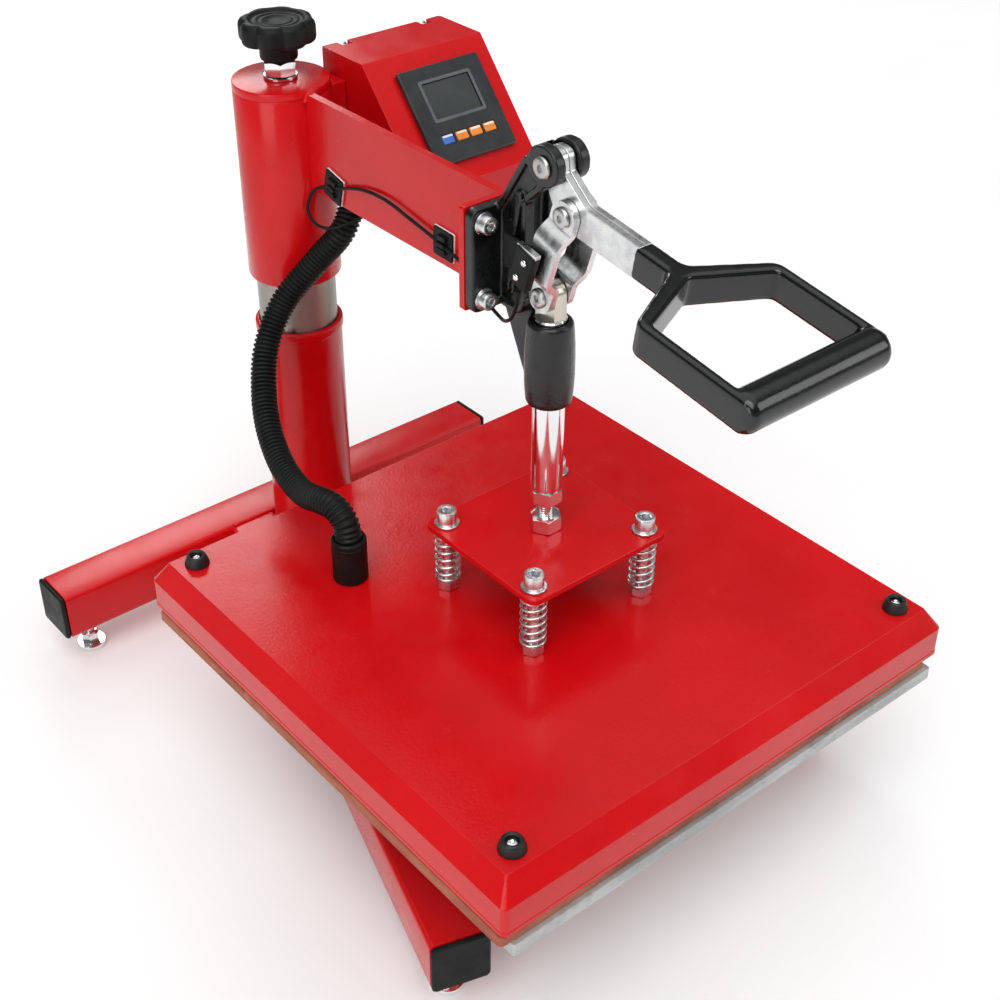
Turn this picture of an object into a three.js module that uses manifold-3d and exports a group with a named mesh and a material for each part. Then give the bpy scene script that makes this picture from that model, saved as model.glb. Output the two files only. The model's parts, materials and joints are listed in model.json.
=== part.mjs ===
// Swing-away heat press: a closed clamshell of a hot head over a flat lower platen,
// carried by an arm that turns about a column on a splayed base of square tube.
// Units are millimetres, +Z is up, the operator stands on the -Y side.
// Until the last lines, x = y = 0 is the centre of the head and z = 0 is the bench top.

import * as THREE from 'three';
import { mergeVertices } from 'three/addons/utils/BufferGeometryUtils.js';
import Module from 'manifold-3d';

const wasm = await Module();
wasm.setup();

// ---------------------------------------------------------------- driving dimensions

const GAP = 0.3;

// The part of a solid that is let into its neighbour before the two are fused.
const LET_IN = 1;

// Lower platen and head
const PLATEN = 380;
const PLATEN_THICK = 9.5;
const PLATEN_TOP = 130.5;
const PLATEN_SHIFT = -8;
const MAT = 384;
const MAT_THICK = 8.4;
const MAT_SHIFT = new THREE.Vector2(-6, -3);
const HEAD = 393;
const HEAD_BOTTOM = 140.1;
const HEATER_PROUD = 0.6;
const HEAD_SIDE = 22.5;
const HEAD_BEVEL = 15;
const HEAD_INSET = 10;
const HEAD_CORNER = 5;
const HEAD_SHEET = 2;
const HEATER = 380;
const HEATER_THICK = 14;
const BOARD = 356;
const BOARD_THICK = 15;

// Base
const TUBE = 40;
const TUBE_WALL = 2;
const TUBE_CORNER = 3.5;
const TUBE_BOTTOM = 30;
const CROSSBAR = 425;
const CROSSBAR_Y = 346.5;
const LEG_SPLAY = THREE.MathUtils.degToRad(17.2);
const LEG_END = new THREE.Vector2(180, -134);
const CAP_THICK = 4;
const FOOT_INSET = 23;
const FOOT_RADIUS = 11.8;
const FOOT_DISC = 4.6;
const SUPPORT_FRONT = -110;
const SUPPORT_PLATE = new THREE.Vector3(220, 260, 6);
const SUPPORT_PLATE_Y = 13;
const POST_WIDTH = 30;
const POST_PLACE = new THREE.Vector2(95, 122);

// Fasteners: stud radius and the hexagon's distance across flats
const M8_RADIUS = 4;
const M8_FLATS = 13;
const M8_CLEARANCE = 4.2;
const M12_RADIUS = 6;
const M12_FLATS = 19;
const SCREW_FLATS = 21.6;
const PIN_HEAD_THICK = 2.8;
const HANDLE_PIN_RADIUS = 5;
const HANDLE_PIN_HEAD = 7;
const KNEE_PIN_RADIUS = 4;
const KNEE_PIN_HEAD = 6.6;
// Long enough to pass right through the toggle, as a drill does.
const DRILL = 60;

// Column, sleeve and knob, all about one upright axis
const COLUMN_Y = 288;
const LOWER_COLUMN_RADIUS = 32.6;
const LOWER_COLUMN_TOP = 269.5;
const INNER_COLUMN_RADIUS = 29.8;
const INNER_COLUMN_WALL = 3.8;
const INNER_COLUMN_TOP = 448;
const COLUMN_FLOOR = 8;
const COLUMN_CAP = 14;
const SLEEVE_RADIUS = 35;
const SLEEVE_BOTTOM = 310;
const SLEEVE_TOP = 459.3;
const SLEEVE_BORE = 30.2;
const SLEEVE_DISC = 6;
const SCREW_RADIUS = 8;
const SCREW_BOTTOM = 396;
const WASHER_RADIUS = 12.2;
const WASHER_THICK = 2.4;
const KNOB_BOTTOM = 472.6;
const KNOB_LOBES = 8;
const KNOB_RADIUS = 27.4;

// Arm and its bolted front flange
const ARM_THICK = 6;
const ARM_BOTTOM = 387;
const ARM_TOP = 458;
const FLANGE_WIDTH = 67;
const FLANGE_THICK = 5;
const FLANGE_BACK = 44.5;
const FLANGE_BOTTOM = 388;
const BRACKET_FLANGE_THICK = 7.5;
const BOLT_X = 24.5;
const BOLT_EDGE = 9.5;

// Toggle: handle pivot, knee pivot and plunger pivot, as (y, z)
const PLUNGER_Y = -4;
const HANDLE_PIVOT = new THREE.Vector2(-8.5, 494.5);
const KNEE_PIVOT = new THREE.Vector2(-23, 467.5);
const PLUNGER_PIVOT = new THREE.Vector2(PLUNGER_Y, 407.5);
const LEVER_THICK = 4.8;
const LEVER_BAR = 21;
const LEVER_EYE = 12;
const LEVER_TILT = THREE.MathUtils.degToRad(8.5);
const LEVER_LENGTH = 58;
const LINK_THICK = 4.7;
const LINK_HALF_WIDTH = 10;
const LINK_INNER_X = 5.3;
const LINK_BOW = 8.2;
const EAR_INNER_X = 5.6;
const EAR_OUTER_X = 13;
const EAR_RADIUS = 12.5;
const CHEEK_FRONT = 8.5;
const GUSSET_HALF = 4.5;
const BARREL_BOTTOM = 330.5;
const BARREL_TOP = 389.5;

// Plunger, spring plate and the four guide screws
const ROD_RADIUS = 10.5;
const ROD_BOTTOM = 264;
const TONGUE_HALF = 5;
const TONGUE_EYE = 9.5;
const TONGUE_DROP = 16;
const ROD_SOCKET = 14;
const PLATE_TOP = 230.5;
const PLATE_THICK = 4.5;
const PLATE_WIDTH = 120;
const PLATE_DEPTH = 114;
const GUIDE_X = 49;
const GUIDE_Y = 45;
const GUIDE_NUT_THICK = 6.6;
const GUIDE_NUT_FLATS = 13.5;
const SPRING_RADIUS = 8;
const SPRING_WIRE = 1.15;
const SPRING_TURNS = 6.5;

// D-shaped handle, measured along the lever from the end of the bare steel
const D_NECK = 27;
const D_SHOULDER = 54;
const D_GRIP = 127;
const D_HALF_WIDTH = 55.5;
const D_BAR = 7;
const D_HEIGHT = 21;
const GRIP_RADIUS = 12;

// Control box on the right of the column
const BOX_LEFT = 40;
const BOX_WIDTH = 107;
const BOX_BOTTOM = 370;
const BOX_BACK = 292;
const BOX_TOP_FRONT = new THREE.Vector2(245, 471);
const BOX_SLOPE_FOOT = new THREE.Vector2(179, 395.5);
const BOX_SHEET = 1.5;
const NOTCH = 9;
const NOTCH_DEPTH = 6;
const NOTCH_X = 36;
const BEZEL = 72;
const BEZEL_THICK = 4;
const BEZEL_SHIFT = 3;
const CONTROLLER_DEPTH = 12;
const SCREEN = new THREE.Vector2(42, 27);
const SCREEN_Y = 10;
const SCREEN_THICK = 1.2;
const BUTTON = new THREE.Vector2(10.5, 7);
const BUTTON_Y = -19;
const BUTTON_PITCH = 12.6;
const FITTINGS_HEIGHT = 34;
const INLET_OFFSET = -22;
const INLET = new THREE.Vector2(27, 20);
const ROCKER_OFFSET = 24;
const ROCKER = new THREE.Vector2(18, 25);

// Soft runs, as x, y, z: the corrugated conduit from the control box to the head,
// and the thin lead from the control box along the arm to the microswitch.
const CONDUIT_RADIUS = 9.6;
const CONDUIT_FOOT = new THREE.Vector2(-95.6, 92);
const FITTING_HEIGHT = 34;
const CONDUIT_ROUTE = [
  [39, 232, 392],
  [33, 232, 391.9],
  [18, 228, 385],
  [3, 225, 363],
  [-12, 238, 339],
  [-37, 250, 307],
  [-56, 246, 280],
  [-69, 233, 258],
  [-82, 210, 239],
  [-92, 177, 224],
  [-96.5, 144, 221],
  [-97, 122, 227],
  [-96, 106, 229],
  [-95.6, 95.5, 223],
  [-95.6, 92, 213],
  [-95.6, 92, 202],
];
const LEAD_RADIUS = 1.2;
const LEAD_ROUTE = [
  [39, 212, 392],
  [24, 212, 380],
  [6, 212, 375],
  [-8, 220, 370],
  [-11, 238, 367.5],
  [-10, 249, 374],
  [-7, 247, 387],
  [-6, 234, 396],
  [-6, 214, 402],
  [-6, 185, 411],
  [-6, 158, 413],
  [-6, 130, 409],
  [-6, 106, 405],
  [-6, 92, 402],
  [-6, 76, 398],
  [-6.5, 62, 390],
  [-8, 48, 382.5],
  [-12, 32, 381],
  [-17, 20, 384],
  [-21, 9, 392],
  [-23, 2, 404],
  [-23, 0, 414.5],
];

// ---------------------------------------------------------------- finishes

const FINISHES = {
  redPaint: { color: 0xc0141c, roughness: 0.28, metalness: 0.0 },
  blackPlastic: { color: 0x1b1f1e, roughness: 0.55, metalness: 0.0 },
  blackCasting: { color: 0x101312, roughness: 0.38, metalness: 0.2 },
  blackDip: { color: 0x161a19, roughness: 0.3, metalness: 0.0 },
  bareSteel: { color: 0x7d7a73, roughness: 0.45, metalness: 0.9 },
  zinc: { color: 0xd6dadb, roughness: 0.28, metalness: 0.95 },
  chrome: { color: 0xe4e6e8, roughness: 0.12, metalness: 1.0 },
  nickel: { color: 0xc2bbaa, roughness: 0.25, metalness: 0.95 },
  aluminium: { color: 0xc9cbcb, roughness: 0.5, metalness: 0.85 },
  silicone: { color: 0xc05a3c, roughness: 0.7, metalness: 0.0 },
  insulation: { color: 0xe6e1d2, roughness: 0.95, metalness: 0.0 },
  bezel: { color: 0x4a4d4e, roughness: 0.5, metalness: 0.0 },
  screen: { color: 0x34383a, roughness: 0.12, metalness: 0.0 },
  buttonBlue: { color: 0x2b5fb8, roughness: 0.4, metalness: 0.0 },
  buttonOrange: { color: 0xe07a1e, roughness: 0.4, metalness: 0.0 },
};

// ---------------------------------------------------------------- helpers

const AXIS_X = new THREE.Vector3(1, 0, 0);
const AXIS_Y = new THREE.Vector3(0, 1, 0);
const AXIS_Z = new THREE.Vector3(0, 0, 1);

// Local (x, y, z) of an extrusion sent to world (y, z, x): a side profile given thickness.
const SIDE_PROFILE = new THREE.Matrix4().makeBasis(AXIS_Y, AXIS_Z, AXIS_X);

// Local (x, y, z) sent to world (x, z, -y): a front elevation given depth towards -Y.
const FRONT_PROFILE = new THREE.Matrix4().makeBasis(AXIS_X, AXIS_Z, AXIS_Y.clone().negate());

function solidOf(geometry) {
  const bare = geometry.clone();
  bare.deleteAttribute('normal');
  bare.deleteAttribute('uv');
  const merged = mergeVertices(bare, 1e-4);
  const vertProperties = new Float32Array(merged.attributes.position.array);
  const triVerts = new Uint32Array(merged.index.array);
  return new wasm.Manifold(new wasm.Mesh({ numProp: 3, vertProperties, triVerts }));
}

function geometryOf(solid) {
  const mesh = solid.getMesh();
  const geometry = new THREE.BufferGeometry();
  geometry.setAttribute('position', new THREE.BufferAttribute(mesh.vertProperties, 3));
  geometry.setIndex(new THREE.BufferAttribute(mesh.triVerts, 1));
  geometry.computeVertexNormals();
  return geometry;
}

function fuse(...geometries) {
  return geometryOf(geometries.map(solidOf).reduce((all, next) => all.add(next)));
}

function cut(body, ...tools) {
  return geometryOf(tools.map(solidOf).reduce((rest, tool) => rest.subtract(tool), solidOf(body)));
}

function roundedRect(width, height, radius, Kind = THREE.Shape) {
  const x = width / 2;
  const y = height / 2;
  const shape = new Kind();
  shape.moveTo(-x + radius, -y);
  shape.lineTo(x - radius, -y);
  shape.absarc(x - radius, -y + radius, radius, -Math.PI / 2, 0, false);
  shape.lineTo(x, y - radius);
  shape.absarc(x - radius, y - radius, radius, 0, Math.PI / 2, false);
  shape.lineTo(-x + radius, y);
  shape.absarc(-x + radius, y - radius, radius, Math.PI / 2, Math.PI, false);
  shape.lineTo(-x, -y + radius);
  shape.absarc(-x + radius, -y + radius, radius, Math.PI, Math.PI * 1.5, false);
  return shape;
}

function extrude(shape, depth, curveSegments = 3, bevel = {}) {
  return new THREE.ExtrudeGeometry(shape, { depth, curveSegments, bevelEnabled: false, ...bevel });
}

// A block standing on z = 0, centred in x and y, with rounded upright edges.
function slab(width, depth, height, radius = 1) {
  return extrude(roundedRect(width, depth, radius), height);
}

// An upright round bar standing on z = 0.
function rod(radius, height, sides = 20) {
  return new THREE.CylinderGeometry(radius, radius, height, sides)
    .rotateX(Math.PI / 2)
    .translate(0, 0, height / 2);
}

// An upright hexagonal bar standing on z = 0, by its distance across flats.
function hexBar(acrossFlats, height) {
  return rod(acrossFlats / Math.sqrt(3), height, 6);
}

// A round bar along X, centred on x = 0 at (y, z).
function crossPin(radius, length, at, sides = 16) {
  return new THREE.CylinderGeometry(radius, radius, length, sides)
    .rotateZ(Math.PI / 2)
    .translate(0, at.x, at.y);
}

// A solid of revolution about Z from (radius, height) pairs, listed upwards on the outside.
function turned(profile, sides = 24) {
  const points = profile.map(([radius, height]) => new THREE.Vector2(radius, height));
  return new THREE.LatheGeometry(points, sides).rotateX(Math.PI / 2);
}

// A hollow solid of revolution: the same, with the outline closed on itself.
function turnedRing(profile, sides = 24) {
  return turned([...profile, profile[0]], sides);
}

function polygon(points) {
  return new THREE.Shape(points.map(([x, y]) => new THREE.Vector2(x, y)));
}

// A bar with two round ends joining two points.
function stadium(a, b, radius) {
  const heading = Math.atan2(b.y - a.y, b.x - a.x);
  const shape = new THREE.Shape();
  shape.absarc(b.x, b.y, radius, heading - Math.PI / 2, heading + Math.PI / 2, false);
  shape.absarc(a.x, a.y, radius, heading + Math.PI / 2, heading + Math.PI * 1.5, false);
  return shape;
}

// A side outline in (y, z), made solid from x = low to x = high.
function sideSolid(shape, low, high, curveSegments = 8) {
  return extrude(shape, high - low, curveSegments).applyMatrix4(SIDE_PROFILE).translate(low, 0, 0);
}

// A tube along a curve, closed at both ends, with twice halfSides faces round it.
function cordAlong(route, radius, halfSides, steps) {
  const section = new THREE.Shape().absarc(0, 0, radius, 0, Math.PI * 2, false);
  const extrudePath = new THREE.CatmullRomCurve3(route.map((point) => new THREE.Vector3(...point)));
  return new THREE.ExtrudeGeometry(section, {
    steps, curveSegments: halfSides, bevelEnabled: false, extrudePath,
  });
}

const press = new THREE.Group();

function add(parent, name, geometry, finish, position = [0, 0, 0], rotation = [0, 0, 0]) {
  const mesh = new THREE.Mesh(geometry, new THREE.MeshStandardMaterial(FINISHES[finish]));
  mesh.name = name;
  mesh.position.set(...position);
  mesh.rotation.set(...rotation);
  parent.add(mesh);
  return mesh;
}

function group(parent, position = [0, 0, 0], rotation = [0, 0, 0]) {
  const node = new THREE.Group();
  node.position.set(...position);
  node.rotation.set(...rotation);
  parent.add(node);
  return node;
}

const SIDES = [['left', -1], ['right', 1]];

// ---------------------------------------------------------------- base

// Square tube along +Y from y = 0, standing on z = 0.
function squareTube(length) {
  const section = roundedRect(TUBE, TUBE, TUBE_CORNER);
  const hollow = TUBE - 2 * TUBE_WALL;
  section.holes.push(roundedRect(hollow, hollow, TUBE_CORNER - TUBE_WALL, THREE.Path));
  return extrude(section, length, 2).rotateX(-Math.PI / 2).translate(0, 0, TUBE / 2);
}

// Moulded cap facing -Y, its plug pushed into the tube behind it.
function endCap() {
  const chamfer = 1.2;
  const plugLength = 12;
  const plugWidth = TUBE - 2 * TUBE_WALL - 2 * GAP;
  const face = extrude(roundedRect(TUBE, TUBE, TUBE_CORNER), CAP_THICK - 2 * chamfer, 2, {
    bevelEnabled: true,
    bevelThickness: chamfer,
    bevelSize: chamfer,
    bevelOffset: -chamfer,
    bevelSegments: 1,
  }).translate(0, 0, chamfer);
  const plug = extrude(roundedRect(plugWidth, plugWidth, 1), plugLength + 1, 1);
  return fuse(face, plug.translate(0, 0, -plugLength)).applyMatrix4(FRONT_PROFILE);
}

// Levelling foot: disc, hexagon and the stud that screws into the tube.
function levellingFoot() {
  const chamfer = 1.6;
  const hexHeight = 9;
  const aboveTube = 6;
  const disc = turned([
    [0, 0],
    [FOOT_RADIUS - chamfer, 0],
    [FOOT_RADIUS, chamfer],
    [FOOT_RADIUS, FOOT_DISC],
    [0, FOOT_DISC],
  ], 20);
  const hex = hexBar(M8_FLATS, hexHeight).translate(0, 0, FOOT_DISC);
  const stud = rod(M8_RADIUS, TUBE_BOTTOM + TUBE_WALL + aboveTube, 10);
  return fuse(disc, hex, stud);
}

const studHole = () => rod(M8_RADIUS + GAP, 2 * TUBE_BOTTOM, 10);

function addLeg(side, sign) {
  const leanBack = sign * LEG_SPLAY;
  const end = [sign * LEG_END.x, LEG_END.y, 0];
  const tail = 60;
  const length = (CROSSBAR_Y - LEG_END.y) / Math.cos(LEG_SPLAY) + tail;
  const place = new THREE.Matrix4().makeRotationZ(leanBack).setPosition(...end);
  const tube = squareTube(length).translate(0, 0, TUBE_BOTTOM).applyMatrix4(place);
  const crossbarSpace = new THREE.BoxGeometry(CROSSBAR, 4 * TUBE, 4 * TUBE)
    .translate(0, CROSSBAR_Y - TUBE / 2 - GAP + 2 * TUBE, TUBE_BOTTOM);
  const columnSpace = rod(LOWER_COLUMN_RADIUS + GAP, 4 * TUBE, 32).translate(0, COLUMN_Y, 0);
  const otherSide = new THREE.BoxGeometry(CROSSBAR, 6 * TUBE, 4 * TUBE)
    .translate(-sign * (CROSSBAR / 2 - GAP), CROSSBAR_Y, TUBE_BOTTOM);
  const foot = studHole().translate(0, FOOT_INSET, 0).applyMatrix4(place);
  add(press, `leg_${side}`, cut(tube, crossbarSpace, columnSpace, otherSide, foot), 'redPaint');
  const legEnd = group(press, end, [0, 0, leanBack]);
  add(legEnd, `leg_cap_${side}`, endCap(), 'blackPlastic', [0, -GAP, TUBE_BOTTOM + TUBE / 2]);
  add(legEnd, `front_foot_${side}`, levellingFoot(), 'chrome', [0, FOOT_INSET, 0]);
}

function addCrossbar() {
  const footX = CROSSBAR / 2 - FOOT_INSET;
  const tube = squareTube(CROSSBAR).rotateZ(-Math.PI / 2).translate(-CROSSBAR / 2, 0, TUBE_BOTTOM);
  const holes = SIDES.map(([, sign]) => studHole().translate(sign * footX, 0, 0));
  add(press, 'crossbar', cut(tube, ...holes), 'redPaint', [0, CROSSBAR_Y, 0]);
  for (const [side, sign] of SIDES) {
    const end = [sign * (CROSSBAR / 2 + GAP), CROSSBAR_Y, TUBE_BOTTOM + TUBE / 2];
    add(press, `crossbar_cap_${side}`, endCap(), 'blackPlastic', end, [0, 0, sign * Math.PI / 2]);
    add(press, `rear_foot_${side}`, levellingFoot(), 'chrome', [sign * footX, CROSSBAR_Y, 0]);
  }
}

function addLowerColumn() {
  const bore = SLEEVE_BORE;
  const lip = 1.2;
  const profile = [
    [0, TUBE_BOTTOM],
    [LOWER_COLUMN_RADIUS, TUBE_BOTTOM],
    [LOWER_COLUMN_RADIUS, LOWER_COLUMN_TOP - 9],
    [LOWER_COLUMN_RADIUS + lip, LOWER_COLUMN_TOP - 7],
    [LOWER_COLUMN_RADIUS + lip, LOWER_COLUMN_TOP - 2],
    [LOWER_COLUMN_RADIUS, LOWER_COLUMN_TOP],
    [bore + 0.6, LOWER_COLUMN_TOP],
    [bore, LOWER_COLUMN_TOP - 1.5],
    [bore, TUBE_BOTTOM + COLUMN_FLOOR],
    [0, TUBE_BOTTOM + COLUMN_FLOOR],
  ];
  add(press, 'lower_column', turned(profile, 32), 'redPaint', [0, COLUMN_Y, 0]);
}

function addInnerColumn() {
  const inside = INNER_COLUMN_RADIUS - INNER_COLUMN_WALL;
  const foot = TUBE_BOTTOM + COLUMN_FLOOR + GAP;
  const inner = turnedRing([
    [INNER_COLUMN_RADIUS, foot],
    [INNER_COLUMN_RADIUS, INNER_COLUMN_TOP],
    [SCREW_RADIUS + GAP, INNER_COLUMN_TOP],
    [SCREW_RADIUS + GAP, INNER_COLUMN_TOP - COLUMN_CAP],
    [inside, INNER_COLUMN_TOP - COLUMN_CAP],
    [inside, foot],
  ], 32);
  add(press, 'inner_column', inner, 'bareSteel', [0, COLUMN_Y, 0]);
}

// Beam from the column under the platen, with cross bars and a mounting plate on top.
function addPlatenSupport() {
  const top = PLATEN_TOP - PLATEN_THICK - GAP;
  const plateBottom = top - SUPPORT_PLATE.z;
  const run = squareTube(COLUMN_Y - SUPPORT_FRONT)
    .translate(0, SUPPORT_FRONT, plateBottom - TUBE + LET_IN);
  const plate = slab(SUPPORT_PLATE.x, SUPPORT_PLATE.y, SUPPORT_PLATE.z, 8)
    .translate(0, SUPPORT_PLATE_Y, plateBottom);
  const columnSpace = rod(LOWER_COLUMN_RADIUS + GAP, 4 * TUBE, 32).translate(0, COLUMN_Y, 0);
  const legTop = TUBE_BOTTOM + TUBE + GAP;
  const posts = SIDES.map(([, sign]) => slab(POST_WIDTH, POST_WIDTH, plateBottom - legTop + LET_IN, 2)
    .translate(sign * POST_PLACE.x, POST_PLACE.y, legTop));
  add(press, 'platen_support', cut(fuse(run, plate, ...posts), columnSpace), 'redPaint');
}

function addPlaten() {
  const plate = slab(PLATEN, PLATEN, PLATEN_THICK, 2);
  add(press, 'lower_platen', plate, 'aluminium', [0, PLATEN_SHIFT, PLATEN_TOP - PLATEN_THICK]);
  const mat = slab(MAT, MAT, MAT_THICK, 4);
  add(press, 'silicone_mat', mat, 'silicone', [MAT_SHIFT.x, MAT_SHIFT.y, PLATEN_TOP + GAP]);
}

// ---------------------------------------------------------------- height adjustment

const washerBottom = SLEEVE_TOP + GAP;
const lockNutBottom = washerBottom + WASHER_THICK + GAP;

function addThrustWasher() {
  const ring = turnedRing([
    [SCREW_RADIUS + GAP, washerBottom],
    [WASHER_RADIUS, washerBottom],
    [WASHER_RADIUS, washerBottom + WASHER_THICK],
    [SCREW_RADIUS + GAP, washerBottom + WASHER_THICK],
  ]);
  add(press, 'thrust_washer', ring, 'chrome', [0, COLUMN_Y, 0]);
}

function knobOutline() {
  const waist = 0.055;
  const steps = 6 * KNOB_LOBES;
  const points = Array.from({ length: steps }, (_, i) => {
    const angle = (i / steps) * Math.PI * 2;
    const radius = KNOB_RADIUS * (1 - waist + waist * Math.cos(KNOB_LOBES * angle));
    return new THREE.Vector2(radius * Math.cos(angle), radius * Math.sin(angle));
  });
  return new THREE.Shape(points);
}

function addKnob() {
  const hubHeight = 12.5;
  const rimHeight = 16.6;
  const soft = 3.2;
  const rim = extrude(knobOutline(), rimHeight - 2 * soft, 1, {
    bevelEnabled: true,
    bevelThickness: soft,
    bevelSize: soft,
    bevelOffset: -soft,
    bevelSegments: 3,
  }).translate(0, 0, hubHeight + soft);
  const hubRadius = 13.5;
  const hubTop = hubHeight + LET_IN;
  const hub = turned([[0, 0], [hubRadius - 2, 0], [hubRadius, 2], [hubRadius, hubTop], [0, hubTop]]);
  const dishFloor = hubHeight + rimHeight - 2;
  const dishTop = dishFloor + 2.5;
  const dish = turned([[0, dishFloor], [14, dishFloor], [19, dishTop], [0, dishTop]]);
  const socketDepth = 9;
  const socket = rod(SCREW_RADIUS + GAP, socketDepth + LET_IN).translate(0, 0, -LET_IN);
  const at = [0, COLUMN_Y, KNOB_BOTTOM + GAP];
  add(press, 'pressure_knob', cut(fuse(rim, hub), dish, socket), 'blackPlastic', at);
  const screwTop = KNOB_BOTTOM + socketDepth - GAP;
  const screw = rod(SCREW_RADIUS, screwTop - SCREW_BOTTOM).translate(0, 0, SCREW_BOTTOM);
  const nut = hexBar(SCREW_FLATS, KNOB_BOTTOM - lockNutBottom).translate(0, 0, lockNutBottom);
  add(press, 'adjusting_screw', fuse(screw, nut), 'chrome', [0, COLUMN_Y, 0]);
}

// ---------------------------------------------------------------- swing arm

function addSleeve() {
  const ring = turnedRing([
    [SLEEVE_RADIUS - 1, SLEEVE_BOTTOM],
    [SLEEVE_RADIUS, SLEEVE_BOTTOM + 1],
    [SLEEVE_RADIUS, SLEEVE_TOP - 0.8],
    [SLEEVE_RADIUS - 0.8, SLEEVE_TOP],
    [SCREW_RADIUS + GAP, SLEEVE_TOP],
    [SCREW_RADIUS + GAP, SLEEVE_TOP - SLEEVE_DISC],
    [SLEEVE_BORE, SLEEVE_TOP - SLEEVE_DISC],
    [SLEEVE_BORE, SLEEVE_BOTTOM],
  ], 32);
  add(press, 'sleeve', ring, 'redPaint', [0, COLUMN_Y, 0]);
}

const flangeHeight = ARM_TOP - FLANGE_BOTTOM;
const boltHeights = [FLANGE_BOTTOM + BOLT_EDGE, ARM_TOP - BOLT_EDGE];

// Clearance holes for the four flange bolts, along Y.
function boltHoles() {
  return SIDES.flatMap(([, sign]) => boltHeights.map((height) => (
    new THREE.CylinderGeometry(M8_CLEARANCE, M8_CLEARANCE, DRILL, 12)
      .translate(sign * BOLT_X, FLANGE_BACK, height)
  )));
}

function addArmPlate() {
  const length = COLUMN_Y - FLANGE_BACK;
  const web = new THREE.BoxGeometry(ARM_THICK, length, ARM_TOP - ARM_BOTTOM)
    .translate(0, FLANGE_BACK + length / 2, (ARM_TOP + ARM_BOTTOM) / 2);
  const flange = extrude(roundedRect(FLANGE_WIDTH, flangeHeight, 2), FLANGE_THICK)
    .applyMatrix4(FRONT_PROFILE)
    .translate(0, FLANGE_BACK, FLANGE_BOTTOM + flangeHeight / 2);
  const sleeveSpace = rod(SLEEVE_RADIUS + GAP, 2 * ARM_TOP, 32).translate(0, COLUMN_Y, 0);
  add(press, 'arm_plate', cut(fuse(web, flange), sleeveSpace, ...boltHoles()), 'redPaint');
}

// The casting's flange lies in front of the arm's; its cheeks, web and gusset grow out of it.
const bracketBack = FLANGE_BACK - FLANGE_THICK - GAP;
const bracketRoot = bracketBack - BRACKET_FLANGE_THICK + 2;
const castingBottom = FLANGE_BOTTOM + 3;
const castingTop = ARM_TOP - 4;

function bracketFlange() {
  return extrude(roundedRect(FLANGE_WIDTH - 1, flangeHeight - 1, 3), BRACKET_FLANGE_THICK)
    .applyMatrix4(FRONT_PROFILE)
    .translate(0, bracketBack, FLANGE_BOTTOM + flangeHeight / 2);
}

// Two cheeks that end in the round ears that carry the handle.
function bracketCheeks() {
  const cheek = polygon([
    [bracketRoot, castingBottom],
    [bracketRoot, castingTop],
    [HANDLE_PIVOT.x + EAR_RADIUS * 0.8, HANDLE_PIVOT.y + EAR_RADIUS * 0.6],
    [HANDLE_PIVOT.x, HANDLE_PIVOT.y - EAR_RADIUS],
    [CHEEK_FRONT, ARM_TOP + 12],
    [CHEEK_FRONT, BARREL_TOP + 8.5],
    [CHEEK_FRONT + 4, castingBottom],
  ]);
  const eyeBack = new THREE.Vector2(HANDLE_PIVOT.x + 2, HANDLE_PIVOT.y);
  const eye = stadium(HANDLE_PIVOT, eyeBack, EAR_RADIUS);
  return SIDES.flatMap(([, sign]) => {
    const [low, high] = [sign * EAR_INNER_X, sign * EAR_OUTER_X].sort((a, b) => a - b);
    return [sideSolid(cheek, low, high), sideSolid(eye, low, high, 10)];
  });
}

// The wall between the cheeks, and the rib below it that holds the plunger guide.
function bracketWebs() {
  const web = polygon([
    [bracketRoot, castingBottom],
    [bracketRoot, castingTop],
    [CHEEK_FRONT + 5.5, ARM_TOP + 26],
    [HANDLE_PIVOT.x + EAR_RADIUS + 4, HANDLE_PIVOT.y + 5],
    [HANDLE_PIVOT.x + EAR_RADIUS + 0.4, HANDLE_PIVOT.y + 5],
    [HANDLE_PIVOT.x + EAR_RADIUS + 0.4, HANDLE_PIVOT.y - EAR_RADIUS],
    [CHEEK_FRONT + 3.5, ARM_TOP + 12],
    [CHEEK_FRONT + 5.5, castingBottom],
  ]);
  const gusset = polygon([
    [bracketRoot, castingBottom + 9],
    [bracketBack - 1, castingBottom - 2],
    [PLUNGER_Y + 16, BARREL_BOTTOM + 7],
    [PLUNGER_Y + 12, BARREL_BOTTOM + 7],
    [PLUNGER_Y + 12, BARREL_TOP - 3],
    [CHEEK_FRONT + 4, castingBottom + 9],
  ]);
  return [
    sideSolid(web, -EAR_INNER_X - LET_IN, EAR_INNER_X + LET_IN),
    sideSolid(gusset, -GUSSET_HALF, GUSSET_HALF),
  ];
}

// Barrel-shaped guide that the plunger slides in.
function plungerGuide() {
  const bore = ROD_RADIUS + GAP;
  return turnedRing([
    [14, BARREL_BOTTOM],
    [15.2, BARREL_BOTTOM + 3],
    [16.2, BARREL_BOTTOM + 20],
    [16.2, BARREL_BOTTOM + 34],
    [15.2, BARREL_TOP - 7],
    [14, BARREL_TOP - 1],
    [12.8, BARREL_TOP],
    [bore, BARREL_TOP],
    [bore, BARREL_BOTTOM],
  ]).translate(0, PLUNGER_Y, 0);
}

function addToggleBracket() {
  const [web, gusset] = bracketWebs();
  const rodSpace = rod(ROD_RADIUS + GAP, 2 * ARM_TOP, 24).translate(0, PLUNGER_Y, 0);
  const pinSpace = crossPin(HANDLE_PIN_RADIUS + GAP, DRILL, HANDLE_PIVOT);
  const body = fuse(bracketFlange(), ...bracketCheeks(), web, cut(gusset, rodSpace), plungerGuide());
  add(press, 'toggle_bracket', cut(body, pinSpace, ...boltHoles()), 'blackCasting');
}

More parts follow.
